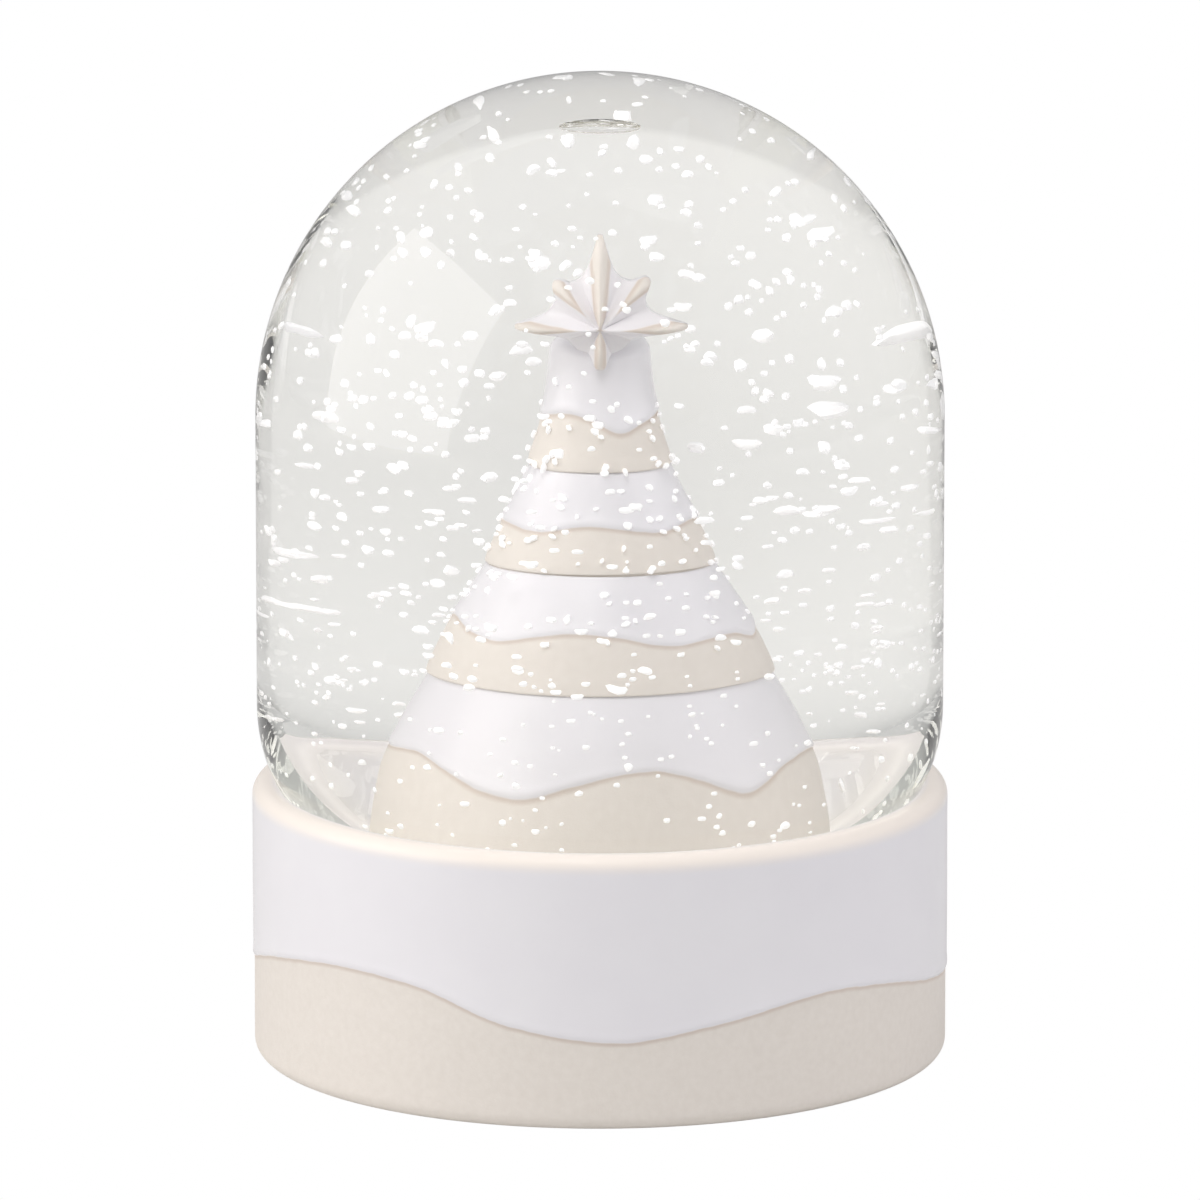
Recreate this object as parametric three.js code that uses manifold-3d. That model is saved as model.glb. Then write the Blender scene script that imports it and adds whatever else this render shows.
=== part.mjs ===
// Snow globe: a liquid-filled glass dome over a ceramic tree, standing in a ceramic ring base.
// Millimetres, +Z up. The origin is at the centre of the underside, and the front faces -Y.

import * as THREE from "three";
import { mergeVertices } from "three/addons/utils/BufferGeometryUtils.js";
import Module from "manifold-3d";

const wasm = await Module();
wasm.setup();

// ---- Driving dimensions -------------------------------------------------------------------

const GAP = 0.3; // clearance left between pieces that touch
const TURNS = 48; // facets around a large turned piece
const HIDDEN_TURNS = 32; // facets around a large piece that the base or the glass hides
const SMALL_TURNS = 20; // facets around a small turned piece

// Ceramic base: a slip-cast ring with an inner shelf that carries the dome
const BASE_R = 50;
const BASE_H = 40.2;
const BASE_WALL = 4;
const LIP_R = 1.9; // round of the upper edge, inside and outside
const FOOT_LIFT = 0.6; // the foot ring clears the table by this much
const FOOT_ROUND = 2;
const RECESS_R = 45; // recess for the cover board and the felt
const RECESS_TOP = 4.8;
const LEDGE_R = 42; // bore between the recess and the shelf
const SHELF_TOP = 24.5;
const SHELF_THICK = 4.5;
const SHELF_BORE_R = 35.6;
const DRAFT = 1.5; // slope under the shelf that lets the plaster mould release

// Closing pieces under the base
const FELT_R = 44.2;
const FELT_THICK = 1.8;
const COVER_R = 44.6;
const COVER_THICK = 2;

// Glass dome
const DOME_R = 49.3;
const DOME_TOP = 142.8;
const GLASS = 2.6;
const SHOULDER_R = 25; // large round between the wall and the neck
const SHOULDER_TOP = 51.5;
const NECK_R = 34;
const NECK_FILLET = 3;
const NECK_END = 10.5;

// Stopper, its fill plug and the sealant bead
const STOPPER_TOP = 23.9;
const STOPPER_BOTTOM = 6.9;
const FLANGE_R = 33.6;
const RIBS = 3;
const RIB_PITCH = 4.2;
const RIB_DEPTH = 0.7;
const BOSS_R = 20.4; // raised disc that centres the hollow foot of the tree
const BOSS_H = 3;
const PLUG_R = 3;
const PLUG_HEAD_R = 4.6;
const PLUG_HEAD_THICK = 0.7;
const PLUG_AT = 10; // distance of the fill hole from the axis
const BEAD_WIDTH = 2;
const BEAD_LOW = 7.5;
const BEAD_HIGH = 13.1;

// Tree: bell-shaped tiers, each {top z, top radius, bottom z, bottom radius, bulge of its side}
const TREE_TOP = 102.6;
const TREE_FOOT = STOPPER_TOP + 1.2;
const TREE_WALL = 3.4;
const TREE_CAVITY_TOP = 83.3; // the casting is hollow up to here, and solid above
const CAVITY_LIFT = 4; // the hollow narrows this far above each tier's edge
const TIERS = [
  { top: 57.9, topR: 18, bottom: TREE_FOOT, bottomR: 25.2, bulge: 2.3, steps: 5 },
  { top: 74.5, topR: 11.8, bottom: 58.2, bottomR: 18.7, bulge: 0.4, steps: 3 },
  { top: 88.1, topR: 7.2, bottom: 74.8, bottomR: 12.4, bulge: 0.2, steps: 2 },
  { top: 101, topR: 5.2, bottom: 88.4, bottomR: 7.8, bulge: -0.5, steps: 3 },
];
const TIER_EDGE = 0.6; // small round under each tier

// Star on the tree top: arm lengths every 45 degrees, from +X upwards
const STAR_AT = new THREE.Vector3(0, -5, 104.9);
const STAR_ARMS = [9.9, 8, 10.8, 7.2, 9.6, 4, 4.7, 4];
const STAR_VALLEY_R = 5.4;
const STAR_LOWER_VALLEY_R = 3.6;
const STAR_FRONT = 3; // height of the ridges in front of the star's middle plane
const STAR_BACK = 2.2;
const STAR_EDGE = 0.8; // thickness of the rim between front and back
const SEAT_DEPTH = 12; // the star's back is cut to the tree top over this height
const STAR_CLEAR = 0.5;

// Liquid and flakes
const SWEEP_R = 11.6; // round space that the star needs inside the turning liquid
const SWEEP_TOP = 117;
const SWEEP_TIP_R = 5; // and what its upper tip needs
const SWEEP_TAPER = 8;
const SWEEP_LOW = 101.1;
const SWEEP_STEP = 3.5;
const SWEEP_NECK_R = 8.2;
const TREE_CLEAR = 0.6;
const FLAKES = 24;
const FLAKE_R = 1.4;
const FLAKE_THICK = 0.6;
const FLAKE_SIDES = 7;
const FLAKE_DEPTH = 2.2; // how far a flake's middle lies inside the liquid
const POCKET_R = 2.1;
const POCKET_DEPTH = 4.2;
const POCKET_SIDES = 10;
const FLAKE_LOW = 45.5;
const FLAKE_HIGH = 125.5;
const GOLDEN_TURN = Math.PI * (3 - Math.sqrt(5));

const CROWN_Z = DOME_TOP - DOME_R; // centre of the dome's hemisphere
const SHOULDER_X = DOME_R - SHOULDER_R; // radius at which the shoulder's round is centred

// ---- Finishes -----------------------------------------------------------------------------

const finish = (color, roughness, extra = {}) =>
  new THREE.MeshStandardMaterial({ color, roughness, metalness: 0, ...extra });

const CERAMIC = finish(0xeae4dd, 0.35);
const BOARD = finish(0xb59b78, 0.9);
const FELT = finish(0xd9d3c8, 1);
const RUBBER = finish(0xd6d4cf, 0.7);
const SEALANT = finish(0xf0efe9, 0.5);
const CLEAR_GLASS = finish(0xf4f8f4, 0.02, { transparent: true, opacity: 0.3 });
const LIQUID = finish(0xf3f6f4, 0.02, { transparent: true, opacity: 0.2 });
const SNOW = finish(0xffffff, 0.6);

// ---- Shapes -------------------------------------------------------------------------------

/** Points [radius, z] of an arc, both ends included, with angles in degrees from outwards to up. */
function arc(centreR, centreZ, radius, from, to, steps) {
  return Array.from({ length: steps + 1 }, (_, i) => {
    const angle = THREE.MathUtils.degToRad(from + ((to - from) * i) / steps);
    return [centreR + radius * Math.cos(angle), centreZ + radius * Math.sin(angle)];
  });
}

/**
 * Turns an outline of [radius, z] points about the Z axis. The outline runs up its outer side.
 * It starts and ends on the axis, or it is closed here.
 */
function turned(outline, segments = TURNS) {
  const points = outline.map(([r, z]) => new THREE.Vector2(r, z));
  if (points[0].x > 0) points.push(points[0].clone());
  return new THREE.LatheGeometry(points, segments).rotateX(Math.PI / 2);
}

/** An upright round bar from one height to another. */
function bar(radius, low, high, segments = SMALL_TURNS) {
  return new THREE.CylinderGeometry(radius, radius, high - low, segments)
    .rotateX(Math.PI / 2)
    .translate(0, 0, (low + high) / 2);
}

/** Makes a manifold-3d solid of a closed geometry. */
function solidOf(geometry) {
  const bare = geometry.clone();
  bare.deleteAttribute("normal");
  bare.deleteAttribute("uv");
  const merged = mergeVertices(bare, 1e-4);
  return new wasm.Manifold(new wasm.Mesh({
    numProp: 3,
    vertProperties: new Float32Array(merged.attributes.position.array),
    triVerts: new Uint32Array(merged.index.array),
  }));
}

/** Turns a manifold-3d solid back into a geometry. */
function geometryOf(solid) {
  const { vertProperties, triVerts } = solid.getMesh();
  const geometry = new THREE.BufferGeometry();
  geometry.setAttribute("position", new THREE.BufferAttribute(new Float32Array(vertProperties), 3));
  geometry.setIndex(new THREE.BufferAttribute(new Uint32Array(triVerts), 1));
  geometry.computeVertexNormals();
  return geometry;
}

/** Outer line of the glass from the neck up to the crown, moved inwards by an inset. */
function domeLine(inset, shoulderSteps, crownSteps) {
  const fillet = NECK_FILLET + inset;
  const round = SHOULDER_R - inset;
  const filletX = NECK_R + NECK_FILLET;
  const reach = filletX - SHOULDER_X;
  const meet = THREE.MathUtils.radToDeg(Math.acos(reach / (round + fillet)));
  const filletZ = SHOULDER_TOP - Math.sqrt((round + fillet) ** 2 - reach ** 2);
  const crown = arc(0, CROWN_Z, DOME_R - inset, 0, 90, crownSteps);
  crown[crownSteps] = [0, DOME_TOP - inset];
  return [
    ...arc(filletX, filletZ, fillet, 180, 180 - meet, 2),
    ...arc(SHOULDER_X, SHOULDER_TOP, round, -meet, 0, shoulderSteps).slice(1),
    ...crown,
  ];
}

/** Side of the tree from the foot up to its top edge, moved outwards by an offset. */
function treeLine(offset = 0) {
  return TIERS.flatMap(({ top, topR, bottom, bottomR, bulge, steps }, tier) => {
    const under = tier === 0 ? [] : [[bottomR - TIER_EDGE + offset, bottom]];
    const low = tier === 0 ? bottom : bottom + TIER_EDGE;
    const side = Array.from({ length: steps + 1 }, (_, i) => {
      const t = i / steps;
      const r = THREE.MathUtils.lerp(bottomR, topR, t) + bulge * Math.sin(Math.PI * t);
      return [r + offset, THREE.MathUtils.lerp(low, top, t)];
    });
    return [...under, ...side];
  });
}

/** Rounded top of the tree, from the upper edge of the last tier to the axis, grown by an offset. */
function treeCrown(offset = 0) {
  const { topR, top } = TIERS[TIERS.length - 1];
  const [width, height] = [topR + offset, TREE_TOP - top + offset];
  const rounded = arc(0, 0, 1, 20, 90, 3).map(([r, z]) => [r * width, top + z * height]);
  return [...rounded.slice(0, -1), [0, TREE_TOP + offset]];
}

/** A place near the glass at height z and a turn about the axis, with the outward direction there. */
function nearGlass(z, turn, depth) {
  const aboveCentre = Math.max(0, z - CROWN_Z);
  const tilt = Math.asin(aboveCentre / DOME_R);
  const out = new THREE.Vector3(
    Math.cos(turn) * Math.cos(tilt),
    Math.sin(turn) * Math.cos(tilt),
    Math.sin(tilt),
  );
  const centre = new THREE.Vector3(0, 0, Math.min(z, CROWN_Z));
  const inside = DOME_R - GLASS - GAP - depth;
  return { place: centre.addScaledVector(out, inside), out };
}

// ---- Ceramic base and what closes it ------------------------------------------------------

function ceramicBase() {
  const inner = BASE_R - BASE_WALL;
  return turned([
    ...arc(BASE_R - FOOT_ROUND, FOOT_LIFT + FOOT_ROUND, FOOT_ROUND, -90, 0, 4),
    ...arc(BASE_R - LIP_R, BASE_H - LIP_R, LIP_R, 0, 90, 4),
    ...arc(inner + LIP_R, BASE_H - LIP_R, LIP_R, 90, 180, 4),
    [inner, SHELF_TOP + 1],
    [inner - 1, SHELF_TOP],
    [SHELF_BORE_R, SHELF_TOP],
    [SHELF_BORE_R, SHELF_TOP - SHELF_THICK],
    [LEDGE_R, SHELF_TOP - SHELF_THICK - DRAFT],
    [LEDGE_R, RECESS_TOP],
    [RECESS_R, RECESS_TOP],
    [RECESS_R, FOOT_LIFT],
  ]);
}

function feltPad() {
  return turned([[0, 0], [FELT_R, 0], [FELT_R, FELT_THICK], [0, FELT_THICK]], HIDDEN_TURNS);
}

function baseCover() {
  const low = FELT_THICK + GAP;
  const high = low + COVER_THICK;
  return turned([[0, low], [COVER_R, low], [COVER_R, high], [0, high]], HIDDEN_TURNS);
}

/** Elastic ring between the shelf of the base and the shoulder of the glass. */
function domeBedding() {
  const underGlass = arc(SHOULDER_X, SHOULDER_TOP, SHOULDER_R + GAP, -38, -56, 4);
  const [outerR] = underGlass[0];
  const [innerR] = underGlass[underGlass.length - 1];
  const low = SHELF_TOP + GAP;
  return turned([[innerR, low], [outerR, low], ...underGlass], HIDDEN_TURNS);
}

// ---- Glass, stopper and seal --------------------------------------------------------------

function glassDome() {
  const inside = domeLine(GLASS, 4, 9).reverse();
  const outside = domeLine(0, 4, 9);
  return turned([...inside, [NECK_R - GLASS, NECK_END], [NECK_R, NECK_END], ...outside]);
}

function rubberStopper() {
  const r = NECK_R - GLASS - GAP;
  const flangeTop = NECK_END - GAP;
  const ribs = Array.from({ length: RIBS }, (_, i) => {
    const z = flangeTop + RIB_PITCH * i;
    return [[r - RIB_DEPTH, z + 1], [r - RIB_DEPTH, z + 2], [r, z + 2.6], [r, z + 3.4]];
  }).flat();
  const blank = turned([
    [0, STOPPER_BOTTOM],
    [FLANGE_R, STOPPER_BOTTOM],
    [FLANGE_R, flangeTop],
    [r, flangeTop],
    ...ribs,
    [r, STOPPER_TOP - 1],
    [r - 1, STOPPER_TOP],
    [BOSS_R, STOPPER_TOP],
    [BOSS_R, STOPPER_TOP + BOSS_H],
    [0, STOPPER_TOP + BOSS_H],
  ], HIDDEN_TURNS);
  const hole = bar(PLUG_R + GAP, 0, BASE_H).translate(PLUG_AT, 0, 0);
  return geometryOf(solidOf(blank).subtract(solidOf(hole)));
}

/** Push-in plug of the hole through which the globe is filled. */
function fillPlug() {
  const headTop = STOPPER_BOTTOM - GAP;
  const headLow = headTop - PLUG_HEAD_THICK;
  return turned([
    [0, headLow],
    [PLUG_HEAD_R, headLow],
    [PLUG_HEAD_R, headTop],
    [PLUG_R, headTop],
    [PLUG_R, STOPPER_TOP],
    [PLUG_R - 1, STOPPER_TOP + 1],
    [0, STOPPER_TOP + 1],
  ], SMALL_TURNS).translate(PLUG_AT, 0, 0);
}

/** Bead of sealant over the joint between the neck and the stopper's flange. */
function sealantBead() {
  const middle = (BEAD_LOW + BEAD_HIGH) / 2;
  const half = (BEAD_HIGH - BEAD_LOW) / 2;
  const round = arc(NECK_R + GAP, middle, 1, -90, 90, 4);
  return turned(round.map(([r, z]) => [
    NECK_R + GAP + (r - NECK_R - GAP) * BEAD_WIDTH,
    middle + (z - middle) * half,
  ]), HIDDEN_TURNS);
}

// ---- Tree and star ------------------------------------------------------------------------

function treeBody() {
  const wall = [
    [0, TREE_CAVITY_TOP],
    [3, TREE_CAVITY_TOP - 1],
    ...TIERS.slice(0, -1).reverse().map(({ bottom, topR }) => [topR - TREE_WALL, bottom + CAVITY_LIFT]),
    [TIERS[0].bottomR - TREE_WALL - 1, (TIERS[0].top + TREE_FOOT) / 2],
    [TIERS[0].bottomR - TREE_WALL, TREE_FOOT],
  ];
  return turned([...wall, ...treeLine(), ...treeCrown()]);
}

/** Thin ring of glue between the foot of the tree and the stopper. */
function treeGlue() {
  const outer = TIERS[0].bottomR - GAP;
  const inner = TIERS[0].bottomR - TREE_WALL + GAP;
  const low = STOPPER_TOP + GAP;
  const high = TREE_FOOT - GAP;
  return turned([[inner, low], [outer, low], [outer, high], [inner, high]], HIDDEN_TURNS);
}

/** Eight-pointed ridged star, cut to sit against the top of the tree. */
function treeStar() {
  const corners = STAR_ARMS.flatMap((arm, i) => {
    const angle = (i * 2 * Math.PI) / STAR_ARMS.length;
    const valley = i < STAR_ARMS.length / 2 ? STAR_VALLEY_R : STAR_LOWER_VALLEY_R;
    const between = angle + Math.PI / STAR_ARMS.length;
    return [
      new THREE.Vector3(arm * Math.cos(angle), 0, arm * Math.sin(angle)),
      new THREE.Vector3(valley * Math.cos(between), 0, valley * Math.sin(between)),
    ];
  });
  const points = [];
  const face = (...vertices) => vertices.forEach((v) => points.push(v.x, v.y, v.z));
  const front = new THREE.Vector3(0, -STAR_FRONT - STAR_EDGE / 2, 0);
  const back = new THREE.Vector3(0, STAR_BACK + STAR_EDGE / 2, 0);
  const half = new THREE.Vector3(0, STAR_EDGE / 2, 0);
  corners.forEach((corner, i) => {
    const next = corners[(i + 1) % corners.length];
    const [a, b] = [corner, next].map((v) => v.clone().sub(half));
    const [c, d] = [corner, next].map((v) => v.clone().add(half));
    face(front, a, b);
    face(a, c, b);
    face(b, c, d);
    face(back, d, c);
  });
  const geometry = new THREE.BufferGeometry();
  geometry.setAttribute("position", new THREE.Float32BufferAttribute(points, 3));
  geometry.translate(STAR_AT.x, STAR_AT.y, STAR_AT.z);
  const { topR, top } = TIERS[TIERS.length - 1];
  const seat = turned([
    [0, top - SEAT_DEPTH],
    [topR + STAR_CLEAR * 2, top - SEAT_DEPTH],
    ...treeCrown(STAR_CLEAR),
  ]);
  return geometryOf(solidOf(geometry).subtract(solidOf(seat)));
}

// ---- Liquid and flakes --------------------------------------------------------------------

/** One flake's height and turn about the axis: a golden-angle spiral up the glass. */
function flakeSpot(i) {
  return { z: THREE.MathUtils.lerp(FLAKE_LOW, FLAKE_HIGH, i / (FLAKES - 1)), turn: i * GOLDEN_TURN };
}

/** The liquid: it fills the dome around the tree, with a pocket at the glass for each flake. */
function liquidFill() {
  const sweep = [
    [0, SWEEP_TOP],
    [SWEEP_TIP_R, SWEEP_TOP],
    [SWEEP_R, SWEEP_TOP - SWEEP_TAPER],
    [SWEEP_R, SWEEP_LOW],
    [SWEEP_NECK_R, SWEEP_LOW - SWEEP_STEP],
  ];
  const underStar = ([, z]) => z < SWEEP_LOW - SWEEP_STEP - 1;
  const aroundTree = treeLine(TREE_CLEAR).reverse().filter(underStar);
  const bottom = STOPPER_TOP + GAP;
  aroundTree[aroundTree.length - 1][1] = bottom;
  const outside = domeLine(GLASS + GAP, 4, 9);
  const neck = [NECK_R - GLASS - GAP, bottom];
  const blank = turned([...sweep, ...aroundTree, neck, ...outside], HIDDEN_TURNS);
  const pocket = new THREE.CylinderGeometry(POCKET_R, POCKET_R, POCKET_DEPTH * 2, POCKET_SIDES)
    .rotateX(Math.PI / 2);
  let fill = solidOf(blank);
  for (let i = 0; i < FLAKES; i += 1) {
    const { z, turn } = flakeSpot(i);
    const { place, out } = nearGlass(z, turn, 0);
    const aim = new THREE.Quaternion().setFromUnitVectors(new THREE.Vector3(0, 0, 1), out);
    const tool = pocket.clone().applyQuaternion(aim).translate(place.x, place.y, place.z);
    fill = fill.subtract(solidOf(tool));
  }
  return geometryOf(fill);
}

/** A small irregular chip, flat to the glass and turned about its own middle. */
function flakeMesh(i) {
  const outline = Array.from({ length: FLAKE_SIDES }, (_, k) => {
    const angle = (k * 2 * Math.PI) / FLAKE_SIDES;
    const r = FLAKE_R * (0.78 + 0.22 * Math.sin(3.1 * k + 1.7 * i));
    return new THREE.Vector2(r * Math.cos(angle), r * 0.8 * Math.sin(angle));
  });
  const geometry = new THREE.ExtrudeGeometry(new THREE.Shape(outline), {
    depth: FLAKE_THICK,
    bevelEnabled: false,
    steps: 1,
  }).translate(0, 0, -FLAKE_THICK / 2);
  const { z, turn } = flakeSpot(i);
  const { place, out } = nearGlass(z, turn, FLAKE_DEPTH);
  const mesh = new THREE.Mesh(geometry, SNOW);
  mesh.position.copy(place);
  mesh.quaternion.setFromUnitVectors(new THREE.Vector3(0, 0, 1), out);
  mesh.rotateZ(i * GOLDEN_TURN);
  return mesh;
}

// ---- Assembly -----------------------------------------------------------------------------

const globe = new THREE.Group();

const pieces = [
  ["ceramic_base", ceramicBase(), CERAMIC],
  ["base_cover", baseCover(), BOARD],
  ["felt_pad", feltPad(), FELT],
  ["dome_bedding", domeBedding(), SEALANT],
  ["glass_dome", glassDome(), CLEAR_GLASS],
  ["rubber_stopper", rubberStopper(), RUBBER],
  ["fill_plug", fillPlug(), RUBBER],
  ["sealant_bead", sealantBead(), SEALANT],
  ["tree_body", treeBody(), CERAMIC],
  ["tree_glue", treeGlue(), SEALANT],
  ["tree_star", treeStar(), CERAMIC],
  ["liquid_fill", liquidFill(), LIQUID],
];
for (const [name, geometry, material] of pieces) {
  const mesh = new THREE.Mesh(geometry, material);
  mesh.name = name;
  globe.add(mesh);
}

const snow = new THREE.Group();
for (let i = 0; i < FLAKES; i += 1) {
  const mesh = flakeMesh(i);
  mesh.name = `snow_flake_${String(i + 1).padStart(2, "0")}`;
  snow.add(mesh);
}
globe.add(snow);

export default globe;
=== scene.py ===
"""Looks of a snow globe: a liquid-filled glass dome over a ceramic tree, in a ceramic ring base.

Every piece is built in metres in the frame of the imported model, which fixes its place and size.
"""

import logging
import math
from collections.abc import Sequence
from dataclasses import dataclass, field
from enum import Enum

import bmesh
import bpy
import numpy as np
from bpy.types import Material, Node, NodeSocket, NodeTree, Object
from mathutils import Euler, Matrix, Vector


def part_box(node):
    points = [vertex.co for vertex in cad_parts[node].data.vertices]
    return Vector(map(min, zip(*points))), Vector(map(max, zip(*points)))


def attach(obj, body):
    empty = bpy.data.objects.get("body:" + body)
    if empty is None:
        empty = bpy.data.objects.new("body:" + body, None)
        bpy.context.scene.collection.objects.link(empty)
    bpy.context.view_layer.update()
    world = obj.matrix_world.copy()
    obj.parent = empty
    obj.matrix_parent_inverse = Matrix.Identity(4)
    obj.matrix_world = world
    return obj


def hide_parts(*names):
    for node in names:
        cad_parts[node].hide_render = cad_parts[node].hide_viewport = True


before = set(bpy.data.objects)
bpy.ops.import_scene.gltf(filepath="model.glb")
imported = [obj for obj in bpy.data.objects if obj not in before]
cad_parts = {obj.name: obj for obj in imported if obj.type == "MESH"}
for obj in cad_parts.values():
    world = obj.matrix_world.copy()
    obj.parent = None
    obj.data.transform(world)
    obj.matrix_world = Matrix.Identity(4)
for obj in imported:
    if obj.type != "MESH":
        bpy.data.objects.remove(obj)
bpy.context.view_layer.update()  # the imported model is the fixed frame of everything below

MM = 0.001
FULL_TURN = 2 * math.pi
SHARP_EDGE = math.radians(50)
LOG = logging.getLogger("snow_globe")
Corner = tuple[float, float, float]  # radius, height and round of an outline's corner
Marks = tuple[tuple[float, float], ...]  # azimuth in degrees and height in mm of points on a line


class Body(Enum):
    """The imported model's two moving groups."""

    GLOBE = "globe"
    SNOW = "snow"


class Slot(Enum):
    """The record's material slots."""

    STONEWARE = "glazed_stoneware"
    GLASS = "clear_glass"
    LIQUID = "liquid"
    FLAKE = "snow_flake"
    RUBBER = "stopper_rubber"
    SEALANT = "sealant"
    BOARD = "fibreboard"
    FELT = "felt"


# ---- Numbers and nodes ----------------------------------------------------------------------


def linear(code: str) -> tuple[float, float, float, float]:
    """Turns an sRGB colour into the linear one that a shader takes.

    Args:
        code: The colour as "#rrggbb".

    Returns:
        Linear red, green, blue and an alpha of 1.
    """
    parts = [int(code[i : i + 2], 16) / 255 for i in (1, 3, 5)]
    bent = [c / 12.92 if c <= 0.04045 else ((c + 0.055) / 1.055) ** 2.4 for c in parts]
    return (*bent, 1.0)


def smooth_step(value: np.ndarray, low: float, high: float) -> np.ndarray:
    """Rises smoothly from 0 at low to 1 at high."""
    t = np.clip((value - low) / (high - low), 0.0, 1.0)
    return t * t * (3 - 2 * t)


def per_metre(size_mm: float) -> float:
    """Scale of a texture in object space whose features are size_mm apart."""
    return 1.0 / (size_mm * MM)


def add(tree: NodeTree, kind: str, ins: dict | None = None, **settings: object) -> Node:
    """Adds a shader node.

    Args:
        tree: The node tree that it goes in.
        kind: The node's type name.
        ins: Input name or number to a value, or to the socket that feeds it.
        **settings: The node's own properties.

    Returns:
        The new node.
    """
    made = tree.nodes.new(kind)
    for key, value in settings.items():
        setattr(made, key, value)
    for key, value in (ins or {}).items():
        if isinstance(value, NodeSocket):
            tree.links.new(value, made.inputs[key])
        else:
            made.inputs[key].default_value = value
    return made


def blank_material(name: str) -> tuple[Material, NodeTree]:
    """Makes a material with an empty node tree.

    Args:
        name: The material's name.

    Returns:
        The material and its node tree.
    """
    material = bpy.data.materials.new(name)
    material.use_nodes = True
    material.node_tree.nodes.clear()
    return material, material.node_tree


def finish_with(tree: NodeTree, shader: Node) -> None:
    """Sends a shader's first output to the material's surface."""
    add(tree, "ShaderNodeOutputMaterial", {"Surface": shader.outputs[0]})


def mottled(
    tree: NodeTree, place: NodeSocket, size_mm: float, light: str, dark: str, detail: float = 2.0
) -> NodeSocket:
    """Lets a colour wander between two shades in soft patches.

    Args:
        tree: The material's node tree.
        place: The point on the surface.
        size_mm: How large the patches are.
        light: The lighter shade.
        dark: The darker shade.
        detail: How much finer mottling lies within the patches.

    Returns:
        The colour.
    """
    scale = per_metre(size_mm)
    patches = add(tree, "ShaderNodeTexNoise", {"Vector": place, "Scale": scale, "Detail": detail})
    shades = {"Factor": patches.outputs["Fac"], 6: linear(light), 7: linear(dark)}
    return add(tree, "ShaderNodeMix", shades, data_type="RGBA").outputs[2]


# ---- Finishes -------------------------------------------------------------------------------


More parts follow.
